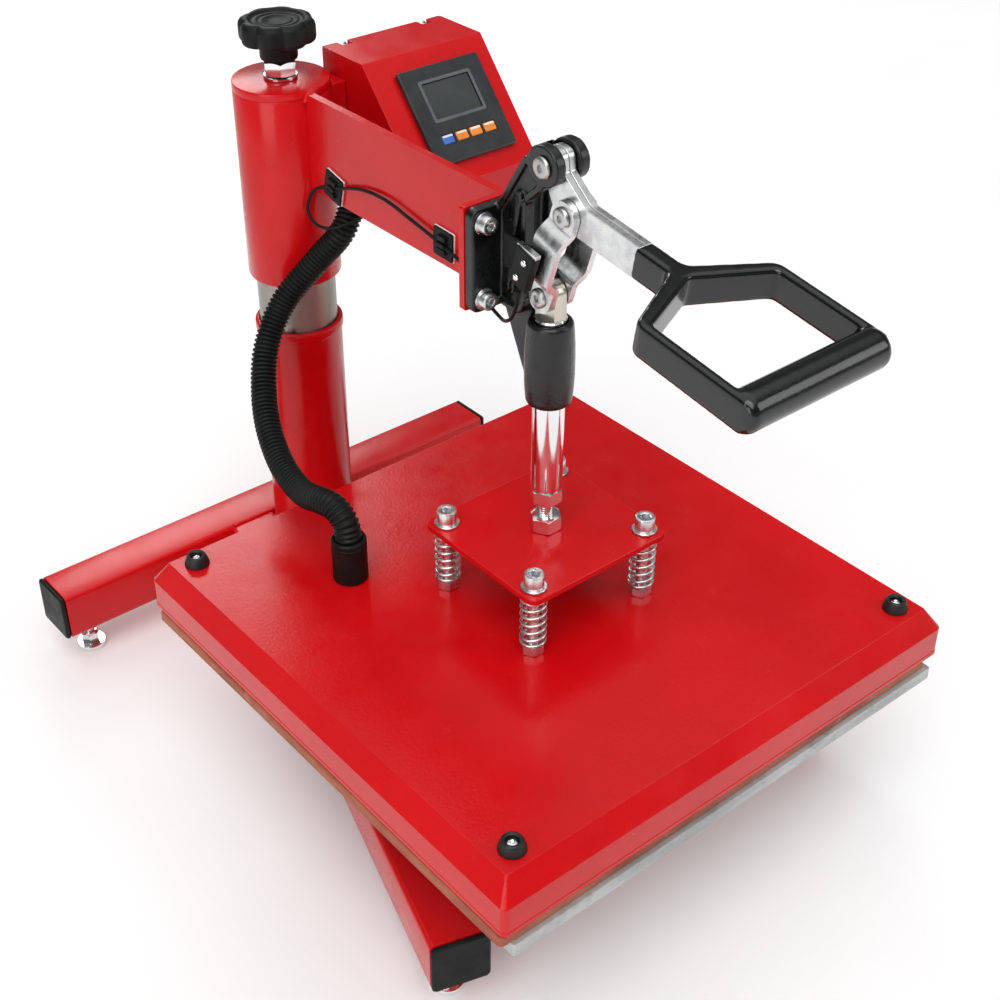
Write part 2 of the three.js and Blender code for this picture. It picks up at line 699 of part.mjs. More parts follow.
// A pin along X with a round head beyond each face of what it holds together.
function headedPin(radius, headRadius, faceX, at) {
  const shank = crossPin(radius, 2 * faceX + LET_IN, at);
  const heads = SIDES.map(([, sign]) => crossPin(headRadius, PIN_HEAD_THICK, at)
    .translate(sign * (faceX + PIN_HEAD_THICK / 2), 0, 0));
  return fuse(shank, ...heads);
}

function addHandlePivotPin() {
  const pin = headedPin(HANDLE_PIN_RADIUS, HANDLE_PIN_HEAD, EAR_OUTER_X + GAP, HANDLE_PIVOT);
  add(press, 'handle_pivot_pin', pin, 'zinc');
}

// Snap switch on a small steel plate that stands off the left cheek.
function addMicroswitch() {
  const plateX = -(EAR_OUTER_X + 5.6);
  const plateThick = 1.6;
  const tilt = THREE.MathUtils.degToRad(18);
  const bottom = 420;
  const back = 18;
  const body = slab(6, 16, 26, 0.8).rotateX(tilt).translate(plateX - 4.5, -1, bottom);
  const plateShape = polygon([[back, bottom + 4], [back, bottom + 26], [-8, bottom + 26], [-2, bottom + 4]]);
  const plate = sideSolid(plateShape, plateX - plateThick, plateX);
  const standoff = new THREE.BoxGeometry(-EAR_OUTER_X - GAP - plateX + LET_IN / 2, 7, 14)
    .translate((plateX - LET_IN / 2 - EAR_OUTER_X - GAP) / 2, back - 3.5, bottom + 15);
  add(press, 'microswitch', fuse(body, plate, standoff), 'blackPlastic');
}

// ---------------------------------------------------------------- control box

// The box seen from the side, or its inside, a sheet's thickness in from all but the open back.
function boxOutline(inset) {
  return polygon([
    [BOX_BACK, BOX_BOTTOM + inset],
    [BOX_BACK, BOX_TOP_FRONT.y - inset],
    [BOX_TOP_FRONT.x + inset * 0.4, BOX_TOP_FRONT.y - inset],
    [BOX_SLOPE_FOOT.x + inset, BOX_SLOPE_FOOT.y - inset * 0.2],
    [BOX_SLOPE_FOOT.x + inset, BOX_BOTTOM + inset],
  ]);
}

const slopeRun = new THREE.Vector2().subVectors(BOX_TOP_FRONT, BOX_SLOPE_FOOT);
const slopeLength = slopeRun.length();
const slopeAngle = Math.atan2(slopeRun.y, slopeRun.x);
const boxCentreX = BOX_LEFT + BOX_WIDTH / 2;

// Everything on the sloped panel is laid out with +Y up the slope and +Z out of it.
function panelGroup() {
  const middle = new THREE.Vector2().addVectors(BOX_TOP_FRONT, BOX_SLOPE_FOOT).multiplyScalar(0.5);
  return group(press, [boxCentreX, middle.x, middle.y], [slopeAngle, 0, 0]);
}

const boxHeight = BOX_TOP_FRONT.y - BOX_BOTTOM;
const fittingsZ = BOX_BOTTOM + FITTINGS_HEIGHT;

function addControlBox(panel) {
  const outer = sideSolid(boxOutline(0), BOX_LEFT, BOX_LEFT + BOX_WIDTH);
  const inner = sideSolid(boxOutline(BOX_SHEET), BOX_LEFT + BOX_SHEET, BOX_LEFT + BOX_WIDTH - BOX_SHEET);
  const opening = new THREE.BoxGeometry(BOX_WIDTH - 2 * BOX_SHEET, 4, boxHeight - 2 * BOX_SHEET)
    .translate(boxCentreX, BOX_BACK, BOX_BOTTOM + boxHeight / 2);
  panel.updateMatrixWorld(true);
  const windowWidth = BEZEL - 6;
  const window = slab(windowWidth, windowWidth, 20, 1)
    .translate(BEZEL_SHIFT, 0, -10)
    .applyMatrix4(panel.matrixWorld);
  const notches = SIDES.map(([, sign]) => new THREE.BoxGeometry(NOTCH, 2 * NOTCH_DEPTH, NOTCH)
    .translate(boxCentreX + sign * NOTCH_X, BOX_BACK, BOX_TOP_FRONT.y));
  add(press, 'control_box', cut(outer, inner, opening, window, ...notches), 'redPaint');
}

function addBackCover() {
  const cover = extrude(roundedRect(BOX_WIDTH, boxHeight, 1), BOX_SHEET, 1)
    .applyMatrix4(FRONT_PROFILE)
    .translate(boxCentreX, BOX_BACK + BOX_SHEET + GAP, BOX_BOTTOM + boxHeight / 2);
  const notches = SIDES.map(([, sign]) => new THREE.BoxGeometry(NOTCH, DRILL, NOTCH)
    .translate(boxCentreX + sign * NOTCH_X, BOX_BACK, BOX_TOP_FRONT.y));
  const inletHole = new THREE.BoxGeometry(INLET.x + 1, DRILL, INLET.y + 1)
    .translate(boxCentreX + INLET_OFFSET, BOX_BACK, fittingsZ);
  const rockerHole = new THREE.BoxGeometry(ROCKER.x + 2, DRILL, ROCKER.y + 3)
    .translate(boxCentreX + ROCKER_OFFSET, BOX_BACK, fittingsZ);
  add(press, 'box_back_cover', cut(cover, inletHole, rockerHole, ...notches), 'redPaint');
}

// Upright strap welded to the sleeve that the control box is screwed against.
function addBoxStrap() {
  const inside = 18;
  const depth = 22;
  const height = 66;
  const reach = BOX_LEFT - GAP - inside;
  const strap = slab(reach, depth, height, 1).translate(inside + reach / 2, COLUMN_Y - 12, BOX_BOTTOM + 18);
  const sleeveSpace = rod(SLEEVE_RADIUS + GAP, 2 * ARM_TOP, 32).translate(0, COLUMN_Y, 0);
  add(press, 'box_strap', cut(strap, sleeveSpace), 'redPaint');
}

// Three-pin appliance inlet in the back cover, built face up and then turned to face back.
function addPowerInlet() {
  const front = BOX_BACK - 14;
  const face = BOX_BACK + BOX_SHEET + 2 * GAP - front;
  const rimThick = 2;
  const socketDepth = 11;
  const barrel = extrude(roundedRect(INLET.x, INLET.y, 2), face + LET_IN, 2);
  const rim = extrude(roundedRect(INLET.x + 4, INLET.y + 4, 3), rimThick, 2).translate(0, 0, face);
  const socket = extrude(roundedRect(INLET.x - 3, INLET.y - 4, 3), socketDepth + rimThick + LET_IN, 2)
    .translate(0, 0, face - socketDepth);
  const pinLength = 10;
  const pins = [[-7, -2], [0, 2], [7, -2]].map(([px, py]) => new THREE.BoxGeometry(2, 5, pinLength)
    .translate(px, py, face - socketDepth - LET_IN / 2 + pinLength / 2));
  const inlet = fuse(cut(fuse(barrel, rim), socket), ...pins);
  const facingBack = new THREE.Matrix4().makeBasis(AXIS_X.clone().negate(), AXIS_Z, AXIS_Y);
  const at = [boxCentreX + INLET_OFFSET, front, fittingsZ];
  add(press, 'power_inlet', inlet.applyMatrix4(facingBack), 'blackPlastic', at);
}

// Rocker that tips about a pin along X in its own opening, lying switched off.
function addPowerSwitch() {
  const half = ROCKER.y / 2;
  const back = -9;
  const outline = polygon([[back, -half], [back, half], [3.5, half], [1.2, 0], [4.8, -half]]);
  const rocker = sideSolid(outline, -ROCKER.x / 2, ROCKER.x / 2);
  add(press, 'power_switch', rocker, 'blackPlastic', [boxCentreX + ROCKER_OFFSET, BOX_BACK, fittingsZ]);
}

const buttonX = (i) => (i - 1.5) * BUTTON_PITCH;
const screenFloor = BEZEL_THICK - SCREEN_THICK;

// Square temperature and time controller: its framed face and the can behind the panel.
function addBezel(panel) {
  const canWidth = BEZEL - 8;
  const chamfer = 1;
  const buttonDepth = 2.6;
  const frame = extrude(roundedRect(BEZEL, BEZEL, 2), BEZEL_THICK - chamfer, 2, {
    bevelEnabled: true,
    bevelThickness: chamfer,
    bevelSize: chamfer,
    bevelOffset: -chamfer,
    bevelSegments: 1,
  }).translate(0, 0, chamfer + GAP);
  const below = new THREE.BoxGeometry(2 * BEZEL, 2 * BEZEL, 20).translate(0, 0, GAP - 10);
  const can = slab(canWidth, canWidth, CONTROLLER_DEPTH, 1).translate(0, 0, 2 - CONTROLLER_DEPTH);
  const screenHole = slab(SCREEN.x, SCREEN.y, 20, 0.5).translate(0, SCREEN_Y, screenFloor);
  const buttonHoles = [0, 1, 2, 3].map((i) => slab(BUTTON.x + 2 * GAP, BUTTON.y + 2 * GAP, 20, 0.6)
    .translate(buttonX(i), BUTTON_Y, BEZEL_THICK - buttonDepth));
  const body = cut(fuse(cut(frame, below), can), screenHole, ...buttonHoles);
  add(panel, 'controller_bezel', body, 'bezel', [BEZEL_SHIFT, 0, 0]);
}

function addScreenAndButtons(panel) {
  const glass = slab(SCREEN.x - 2 * GAP, SCREEN.y - 2 * GAP, SCREEN_THICK, 0.5);
  add(panel, 'controller_screen', glass, 'screen', [BEZEL_SHIFT, SCREEN_Y, screenFloor + GAP]);
  const edge = 0.5;
  const names = ['button_set', 'button_down', 'button_up', 'button_reset'];
  names.forEach((name, i) => {
    const cap = extrude(roundedRect(BUTTON.x, BUTTON.y, 1), 2.2, 2, {
      bevelEnabled: true,
      bevelThickness: edge,
      bevelSize: edge,
      bevelOffset: -edge,
      bevelSegments: 1,
    });
    const finish = i === 0 ? 'buttonBlue' : 'buttonOrange';
    add(panel, name, cap, finish, [BEZEL_SHIFT + buttonX(i), BUTTON_Y, BEZEL_THICK - 0.7]);
  });
}

// ---------------------------------------------------------------- handle and links

const leverHeading = new THREE.Vector2(-Math.cos(LEVER_TILT), -Math.sin(LEVER_TILT));

function leverShape() {
  const up = new THREE.Vector2(-leverHeading.y, leverHeading.x).multiplyScalar(-LEVER_BAR / 2);
  const root = KNEE_PIVOT.clone();
  const end = root.clone().addScaledVector(leverHeading, LEVER_LENGTH);
  const corners = [root.clone().add(up), root.clone().sub(up), end.clone().sub(up), end.clone().add(up)];
  return new THREE.Shape(corners);
}

function addLever() {
  for (const [side, sign] of SIDES) {
    const inner = GAP / 2;
    const [low, high] = [sign * inner, sign * (inner + LEVER_THICK)].sort((a, b) => a - b);
    const upright = sideSolid(stadium(HANDLE_PIVOT, KNEE_PIVOT, LEVER_EYE), low, high);
    const bar = sideSolid(leverShape(), low, high);
    const holes = [
      crossPin(HANDLE_PIN_RADIUS + GAP, DRILL, HANDLE_PIVOT),
      crossPin(KNEE_PIN_RADIUS + GAP, DRILL, KNEE_PIVOT),
    ];
    add(press, `lever_plate_${side}`, cut(fuse(upright, bar), ...holes), 'zinc');
  }
}

// Plan of the dipped fork: v across, u along the lever towards the operator.
function forkPlan() {
  const neck = 6.4;
  const outer = D_HALF_WIDTH;
  const inner = D_HALF_WIDTH - D_BAR;
  const tip = D_GRIP + 5;
  const right = [
    [neck, 0],
    [neck, D_NECK - 3],
    [outer, D_SHOULDER - 4],
    [outer, tip],
    [inner, tip],
    [inner, D_SHOULDER + 4],
  ];
  const left = [...right].reverse().map(([v, u]) => [-v, u]);
  return polygon([...right, [0, D_NECK + 9], ...left].map(([v, u]) => [v, -u]));
}

function addGrip() {
  const edge = 1.6;
  const fork = extrude(forkPlan(), D_HEIGHT - 2 * edge, 1, {
    bevelEnabled: true, bevelThickness: edge, bevelSize: edge, bevelOffset: -edge, bevelSegments: 1,
  }).translate(0, 0, edge - D_HEIGHT / 2);
  const behind = new THREE.Vector2(D_HEIGHT, 0);
  const grip = new THREE.Vector2(-D_GRIP, 0);
  const silhouette = sideSolid(stadium(behind, grip, GRIP_RADIUS), -D_HALF_WIDTH, D_HALF_WIDTH, 10);
  const trimmed = geometryOf(solidOf(fork).intersect(solidOf(silhouette)));
  const bar = crossPin(GRIP_RADIUS, 2 * D_HALF_WIDTH - D_BAR, grip, 20);
  const start = KNEE_PIVOT.clone().addScaledVector(leverHeading, LEVER_LENGTH + GAP);
  add(press, 'd_handle', fuse(trimmed, bar), 'blackDip', [0, start.x, start.y], [LEVER_TILT, 0, 0]);
}

// Where the link's bow starts, is full, ends and has returned, along it from the knee pivot.
const linkLength = KNEE_PIVOT.distanceTo(PLUNGER_PIVOT);
const BOW_START = 8;
const BOW_FULL = 17;
const BOW_END = linkLength - 19;
const BOW_RETURN = linkLength - 12;

// A flat bar bowed outwards between its two eyes, seen edge on as (across, along).
function linkEdge() {
  const near = [
    [0, -LINK_HALF_WIDTH],
    [0, BOW_START],
    [LINK_BOW, BOW_FULL],
    [LINK_BOW, BOW_END],
    [0, BOW_RETURN],
    [0, linkLength + LINK_HALF_WIDTH],
  ];
  const far = [...near].reverse().map(([across, along]) => [across + LINK_THICK, along]);
  return polygon([...near, ...far]);
}

function addLinks() {
  const heading = new THREE.Vector2().subVectors(PLUNGER_PIVOT, KNEE_PIVOT);
  const angle = Math.atan2(heading.x, -heading.y);
  const origin = new THREE.Vector2(0, 0);
  const eyeToEye = stadium(origin, new THREE.Vector2(0, -linkLength), LINK_HALF_WIDTH);
  const width = 2 * LINK_HALF_WIDTH + 2;
  for (const [side, sign] of SIDES) {
    const strip = extrude(linkEdge(), width, 1).translate(0, 0, -width / 2);
    const toSide = new THREE.Matrix4().makeBasis(AXIS_X, AXIS_Z.clone().negate(), AXIS_Y);
    strip.applyMatrix4(toSide).translate(LINK_INNER_X, 0, 0);
    const silhouette = sideSolid(eyeToEye, 0, 30, 10);
    const plate = geometryOf(solidOf(strip).intersect(solidOf(silhouette)));
    const drilled = cut(plate, crossPin(KNEE_PIN_RADIUS + GAP, DRILL, origin));
    const placed = sign > 0 ? drilled : mirrorX(drilled);
    add(press, `link_${side}`, placed, 'zinc', [0, KNEE_PIVOT.x, KNEE_PIVOT.y], [angle, 0, 0]);
  }
  const face = LINK_INNER_X + LINK_THICK + GAP;
  add(press, 'knee_pin', headedPin(KNEE_PIN_RADIUS, KNEE_PIN_HEAD, face, KNEE_PIVOT), 'zinc');
}

// Mirror image in the plane x = 0, with its faces turned to point outwards again.
function mirrorX(geometry) {
  const copy = geometry.clone().applyMatrix4(new THREE.Matrix4().makeScale(-1, 1, 1));
  const corners = copy.index.array;
  for (let i = 0; i < corners.length; i += 3) {
    const first = corners[i];
    corners[i] = corners[i + 1];
    corners[i + 1] = first;
  }
  return copy;
}

// ---------------------------------------------------------------- plunger and spring plate

// Round plunger milled flat on both sides at the top, down to below where the links swing.
function addPlungerRod() {
  const tongueTop = PLUNGER_PIVOT.y + TONGUE_EYE;
  const shoulder = PLUNGER_PIVOT.y - TONGUE_DROP;
  const bar = rod(ROD_RADIUS, shoulder - ROD_BOTTOM, 24).translate(0, PLUNGER_Y, ROD_BOTTOM);
  const tongueBlank = rod(ROD_RADIUS, tongueTop - shoulder + LET_IN, 24)
    .translate(0, PLUNGER_Y, shoulder - LET_IN);
  const belowShoulder = new THREE.Vector2(PLUNGER_Y, shoulder - 2 * ROD_RADIUS);
  const flats = sideSolid(stadium(PLUNGER_PIVOT, belowShoulder, TONGUE_EYE), -TONGUE_HALF, TONGUE_HALF);
  const tongue = geometryOf(solidOf(tongueBlank).intersect(solidOf(flats)));
  const socket = rod(M12_RADIUS + GAP, ROD_SOCKET + LET_IN).translate(0, PLUNGER_Y, ROD_BOTTOM - LET_IN);
  add(press, 'plunger_rod', cut(fuse(bar, tongue), socket), 'nickel');
}

// Stud from the spring plate up into the rod, with a nut under the plate, on it and under the rod.
function addPlungerStud() {
  const plateBottom = PLATE_TOP - PLATE_THICK;
  const bottom = plateBottom - 8;
  const lowerNut = 10.8;
  const upperNut = 10;
  const underNut = 6;
  const stud = rod(M12_RADIUS, ROD_BOTTOM + ROD_SOCKET - GAP - bottom, 16).translate(0, 0, bottom);
  const nuts = [
    hexBar(M12_FLATS, lowerNut).translate(0, 0, PLATE_TOP + GAP),
    hexBar(M12_FLATS, upperNut).translate(0, 0, ROD_BOTTOM - upperNut - GAP),
    hexBar(M12_FLATS, underNut).translate(0, 0, plateBottom - underNut - GAP),
  ];
  add(press, 'plunger_stud', fuse(stud, ...nuts), 'chrome', [0, PLUNGER_Y, 0]);
}

const guidePlaces = [
  ['rear_left', -1, 1],
  ['front_left', -1, -1],
  ['front_right', 1, -1],
  ['rear_right', 1, 1],
].map(([name, i, j]) => [name, i * GUIDE_X, PLUNGER_Y + j * GUIDE_Y]);

function addSpringPlate() {
  const plate = slab(PLATE_WIDTH, PLATE_DEPTH, PLATE_THICK, 7)
    .translate(0, PLUNGER_Y, PLATE_TOP - PLATE_THICK);
  const hole = (radius, x, y) => rod(radius + GAP, 4 * PLATE_THICK, 16)
    .translate(x, y, PLATE_TOP - 2 * PLATE_THICK);
  const holes = guidePlaces.map(([, x, y]) => hole(M8_RADIUS, x, y));
  const centre = hole(M12_RADIUS, 0, PLUNGER_Y);
  add(press, 'spring_plate', cut(plate, centre, ...holes), 'redPaint');
}

const headTop = HEAD_BOTTOM + HEAD_SIDE + HEAD_BEVEL;
const guideNutTop = headTop + GAP + GUIDE_NUT_THICK;
const springBottom = guideNutTop + GAP;
const springTop = PLATE_TOP - PLATE_THICK - GAP;

// Shoulder screw: cap head and washer above the plate, hexagon on the head cover.
function guideScrew() {
  const washerThick = 1.6;
  const capHeight = 9.6;
  const keyDepth = 5;
  const foot = headTop + GAP;
  const capBottom = PLATE_TOP + GAP + washerThick;
  const capTop = capBottom + capHeight;
  const washer = rod(8.6, washerThick, 20).translate(0, 0, PLATE_TOP + GAP);
  const cap = rod(6.8, capHeight, 18).translate(0, 0, capBottom);
  const key = hexBar(6, keyDepth + LET_IN).translate(0, 0, capTop - keyDepth);
  const shank = rod(M8_RADIUS, capBottom + LET_IN - foot, 16).translate(0, 0, foot);
  const nut = hexBar(GUIDE_NUT_FLATS, GUIDE_NUT_THICK).translate(0, 0, foot);
  return cut(fuse(washer, cap, shank, nut), key);
}

function helix(radius, bottom, top, turns) {
  const stepsPerTurn = 7;
  const steps = Math.round(turns * stepsPerTurn);
  const points = Array.from({ length: steps + 1 }, (_, i) => {
    const angle = (i / stepsPerTurn) * Math.PI * 2;
    const height = bottom + (top - bottom) * (i / steps);
    return [radius * Math.cos(angle), radius * Math.sin(angle), height];
  });
  return cordAlong(points, SPRING_WIRE, 3, steps);
}

function addGuides() {
  const coil = helix(SPRING_RADIUS, springBottom + SPRING_WIRE, springTop - SPRING_WIRE, SPRING_TURNS);
  for (const [name, x, y] of guidePlaces) {
    add(press, `guide_screw_${name}`, guideScrew(), 'zinc', [x, y, 0]);
    add(press, `spring_${name}`, coil.clone(), 'zinc', [x, y, 0]);
  }
}

// ---------------------------------------------------------------- head

// Four upright sides below four sloping ones, that meet in a mitre at each corner.
function headBlank(width, corner, sideHeight, bevelHeight) {
  const sides = slab(width, width, sideHeight, corner);
  const topWidth = width - 2 * HEAD_INSET;
  const top = slab(topWidth, topWidth, sideHeight + bevelHeight, 1);
  return geometryOf(solidOf(sides).add(solidOf(top)).hull());
}

function addHead() {
  const outer = headBlank(HEAD, HEAD_CORNER, HEAD_SIDE, HEAD_BEVEL);
  const cavityWidth = HEAD - 2 * HEAD_SHEET;
  const cavityCorner = HEAD_CORNER - HEAD_SHEET;
  const inner = headBlank(cavityWidth, cavityCorner, HEAD_SIDE + LET_IN, HEAD_BEVEL - HEAD_SHEET)
    .translate(0, 0, -LET_IN);
  add(press, 'head_cover', cut(outer, inner), 'redPaint', [0, 0, HEAD_BOTTOM]);
  const heaterBottom = HEAD_BOTTOM - HEATER_PROUD;
  add(press, 'heating_plate', slab(HEATER, HEATER, HEATER_THICK, 3), 'aluminium', [0, 0, heaterBottom]);
  const boardBottom = heaterBottom + HEATER_THICK + GAP;
  const board = slab(BOARD, BOARD, BOARD_THICK, 3);
  add(press, 'insulation_board', board, 'insulation', [0, 0, boardBottom]);
}

// Black socket on the cover that the conduit drops into.
function addConduitFitting() {
  const base = headTop + GAP;
  const floor = base + 12;
  const bore = CONDUIT_RADIUS + GAP;
  const outside = 12.4;
  const ring = turned([
    [0, base],
    [outside, base],
    [outside, base + FITTING_HEIGHT - 2],
    [outside - 1, base + FITTING_HEIGHT],
    [bore, base + FITTING_HEIGHT],
    [bore, floor],
    [0, floor],
  ]);
  add(press, 'conduit_fitting', ring, 'blackPlastic', [CONDUIT_FOOT.x, CONDUIT_FOOT.y, 0]);
}

function addConduits() {
  const bottom = [CONDUIT_FOOT.x, CONDUIT_FOOT.y, headTop + GAP + 14];
  const route = [...CONDUIT_ROUTE, bottom];
  add(press, 'conduit', cordAlong(route, CONDUIT_RADIUS, 5, 44), 'blackPlastic');
  add(press, 'switch_lead', cordAlong(LEAD_ROUTE, LEAD_RADIUS, 3, 56), 'blackPlastic');
}

// ---------------------------------------------------------------- assembly

addCrossbar();
for (const [side, sign] of SIDES) {
  addLeg(side, sign);
}
addLowerColumn();
addInnerColumn();
addPlatenSupport();
addPlaten();
addThrustWasher();
addKnob();
addSleeve();
addArmPlate();
addToggleBracket();
addHandlePivotPin();
addMicroswitch();
const panel = panelGroup();
addControlBox(panel);
addBackCover();
addBoxStrap();
addPowerInlet();
addPowerSwitch();
addBezel(panel);
addScreenAndButtons(panel);
addLever();
addGrip();
addLinks();
addPlungerRod();
addPlungerStud();
addSpringPlate();
addGuides();
addHead();
addConduitFitting();
addConduits();

// The finished frame has its origin under the middle of the whole press.
press.updateMatrixWorld(true);
const middle = new THREE.Box3().setFromObject(press, true).getCenter(new THREE.Vector3());
press.position.set(-middle.x, -middle.y, 0);

export default press;
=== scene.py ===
import json
import math

import bmesh
import bpy
from mathutils import Matrix, Vector

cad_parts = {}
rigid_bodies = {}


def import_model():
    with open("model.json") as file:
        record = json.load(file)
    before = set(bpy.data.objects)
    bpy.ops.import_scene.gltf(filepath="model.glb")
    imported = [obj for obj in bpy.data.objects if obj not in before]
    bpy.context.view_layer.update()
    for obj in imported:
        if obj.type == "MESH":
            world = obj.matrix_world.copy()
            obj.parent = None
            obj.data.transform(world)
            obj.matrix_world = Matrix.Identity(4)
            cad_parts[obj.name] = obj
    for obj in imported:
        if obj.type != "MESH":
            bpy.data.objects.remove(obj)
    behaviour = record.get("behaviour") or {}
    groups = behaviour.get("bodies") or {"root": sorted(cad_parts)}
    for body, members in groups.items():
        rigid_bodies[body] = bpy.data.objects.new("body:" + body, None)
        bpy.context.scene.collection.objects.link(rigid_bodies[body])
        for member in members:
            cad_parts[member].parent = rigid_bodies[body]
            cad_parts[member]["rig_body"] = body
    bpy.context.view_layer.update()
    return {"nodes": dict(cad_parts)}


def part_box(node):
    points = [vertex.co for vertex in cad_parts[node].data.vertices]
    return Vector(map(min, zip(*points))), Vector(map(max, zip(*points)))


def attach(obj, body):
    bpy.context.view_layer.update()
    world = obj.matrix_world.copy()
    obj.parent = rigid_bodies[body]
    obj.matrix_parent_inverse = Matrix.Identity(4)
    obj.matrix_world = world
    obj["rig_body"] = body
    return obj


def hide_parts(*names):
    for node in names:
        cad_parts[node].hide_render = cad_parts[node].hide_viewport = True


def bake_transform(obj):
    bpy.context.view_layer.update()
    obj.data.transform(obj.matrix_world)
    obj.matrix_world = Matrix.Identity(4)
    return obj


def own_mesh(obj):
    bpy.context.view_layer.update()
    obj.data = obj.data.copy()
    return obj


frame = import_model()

# ---------------------------------------------------------------- the frame's own places

# Pieces are laid out in millimetres about the centre of the head, with z = 0 on the bench.
MM = 0.001


def middle(node):
    low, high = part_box(node)
    return (low + high) / 2


HEAD_Y = middle("head_cover").y
COLUMN_Y = (middle("inner_column").y - HEAD_Y) / MM
PLUNGER_Y = (middle("plunger_rod").y - HEAD_Y) / MM
TO_FRAME = Matrix.Translation((0, HEAD_Y, 0)) @ Matrix.Diagonal((MM, MM, MM, 1))


def shift(x, y, z):
    return Matrix.Translation((x, y, z))


def spin(degrees, axis):
    return Matrix.Rotation(math.radians(degrees), 4, axis)


def bottom(node):
    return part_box(node)[0].z / MM


def top(node):
    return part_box(node)[1].z / MM


def under(node):
    """A matrix that puts z's axis through the middle of a node."""
    centre = middle(node)
    return shift(centre.x / MM, (centre.y - HEAD_Y) / MM, 0)


def linked(name, data):
    obj = bpy.data.objects.new(name, data)
    bpy.context.scene.collection.objects.link(obj)
    return obj


# ---------------------------------------------------------------- camera

CAMERA_PLACE = (-580.5, -650.5, 867.3)
CAMERA_AZIMUTH = 39.893
CAMERA_ELEVATION = 35.301
CAMERA_ROLL = 0.288
CAMERA_LENS = 57.42
CAMERA_SENSOR = 36


def make_camera():
    data = bpy.data.cameras.new("camera")
    data.lens = CAMERA_LENS
    data.sensor_width = CAMERA_SENSOR
    camera = linked("camera", data)
    aim = spin(-CAMERA_AZIMUTH, "Z") @ spin(90 - CAMERA_ELEVATION, "X") @ spin(CAMERA_ROLL, "Z")
    camera.matrix_world = shift(*(TO_FRAME @ Vector(CAMERA_PLACE))) @ aim
    bpy.context.scene.camera = camera


make_camera()

# ---------------------------------------------------------------- materials

# Most of a noise texture's values lie between these two.
NOISE_LOW = 0.3
NOISE_HIGH = 0.7
NOISE_ROUGHNESS = 0.55


class Look:
    """A node material built up from object-space noise, so that it moves with its piece."""

    def __init__(self, name, colour, roughness, metallic=0.0, **fixed):
        self.material = bpy.data.materials.new(name)
        self.material.use_nodes = True
        self.nodes = self.material.node_tree.nodes
        self.links = self.material.node_tree.links
        self.shader = self.nodes["Principled BSDF"]
        self.shader.inputs["Base Color"].default_value = (*colour, 1)
        self.shader.inputs["Roughness"].default_value = roughness
        self.shader.inputs["Metallic"].default_value = metallic
        for socket, value in fixed.items():
            self.shader.inputs[socket.replace("_", " ")].default_value = value
        self.coordinates = self.nodes.new("ShaderNodeTexCoord").outputs["Object"]
        self.height = None

    def noise(self, scale, detail=4.0, stretch=None):
        node = self.nodes.new("ShaderNodeTexNoise")
        node.inputs["Scale"].default_value = scale
        node.inputs["Detail"].default_value = detail
        node.inputs["Roughness"].default_value = NOISE_ROUGHNESS
        source = self.coordinates
        if stretch:
            mapping = self.nodes.new("ShaderNodeMapping")
            mapping.inputs["Scale"].default_value = stretch
            self.links.new(source, mapping.inputs["Vector"])
            source = mapping.outputs["Vector"]
        self.links.new(source, node.inputs["Vector"])
        return node.outputs["Fac"]

    def ramp(self, source, low, high, first, last):
        node = self.nodes.new("ShaderNodeValToRGB")
        ends = node.color_ramp.elements
        ends[0].position = low
        ends[1].position = high
        ends[0].color = (*first, 1)
        ends[1].color = (*last, 1)
        self.links.new(source, node.inputs["Fac"])
        return node.outputs["Color"]

    def colour(self, source, first, last, low=0.35, high=0.65):
        self.links.new(self.ramp(source, low, high, first, last), self.shader.inputs["Base Color"])
        return self

    def stain(self, source, last, low=0.6, high=0.75):
        """Mixes a second colour over what the base colour already has."""
        base = self.shader.inputs["Base Color"].links[0].from_socket
        mix = self.nodes.new("ShaderNodeMix")
        mix.data_type = "RGBA"
        mask = self.ramp(source, low, high, (0, 0, 0), (1, 1, 1))
        self.links.new(mask, mix.inputs["Factor"])
        self.links.new(base, mix.inputs["A"])
        mix.inputs["B"].default_value = (*last, 1)
        self.links.new(mix.outputs["Result"], self.shader.inputs["Base Color"])
        return self

    def gloss(self, source, low, high):
        node = self.nodes.new("ShaderNodeMapRange")
        node.inputs["From Min"].default_value = NOISE_LOW
        node.inputs["From Max"].default_value = NOISE_HIGH
        node.inputs["To Min"].default_value = low
        node.inputs["To Max"].default_value = high
        self.links.new(source, node.inputs["Value"])
        self.links.new(node.outputs["Result"], self.shader.inputs["Roughness"])
        return self

    def bump(self, source, distance, strength=0.5):
        node = self.nodes.new("ShaderNodeBump")
        node.inputs["Distance"].default_value = distance
        node.inputs["Strength"].default_value = strength
        self.links.new(source, node.inputs["Height"])
        if self.height:
            self.links.new(self.height, node.inputs["Normal"])
        self.height = node.outputs["Normal"]
        self.links.new(self.height, self.shader.inputs["Normal"])
        return self


def powder_coat():
    look = Look(
        "red powder coat", (0.6, 0.004, 0.006), 0.22,
        Specular_IOR_Level=0.3, Coat_Weight=0.06, Coat_Roughness=0.1,
    )
    look.colour(look.noise(9), (0.52, 0.002, 0.004), (0.60, 0.004, 0.006))
    look.gloss(look.noise(40), 0.16, 0.28)
    look.bump(look.noise(520, 2), 0.00025, 0.35)
    return look.bump(look.noise(130, 2), 0.0005, 0.14).material


def moulded_black():
    look = Look("black moulding", (0.004, 0.005, 0.005), 0.5, Specular_IOR_Level=0.2)
    look.colour(look.noise(60), (0.0025, 0.0035, 0.003), (0.007, 0.009, 0.008))
    look.gloss(look.noise(90), 0.4, 0.6)
    return look.bump(look.noise(1500, 3), 0.0002, 0.5).material


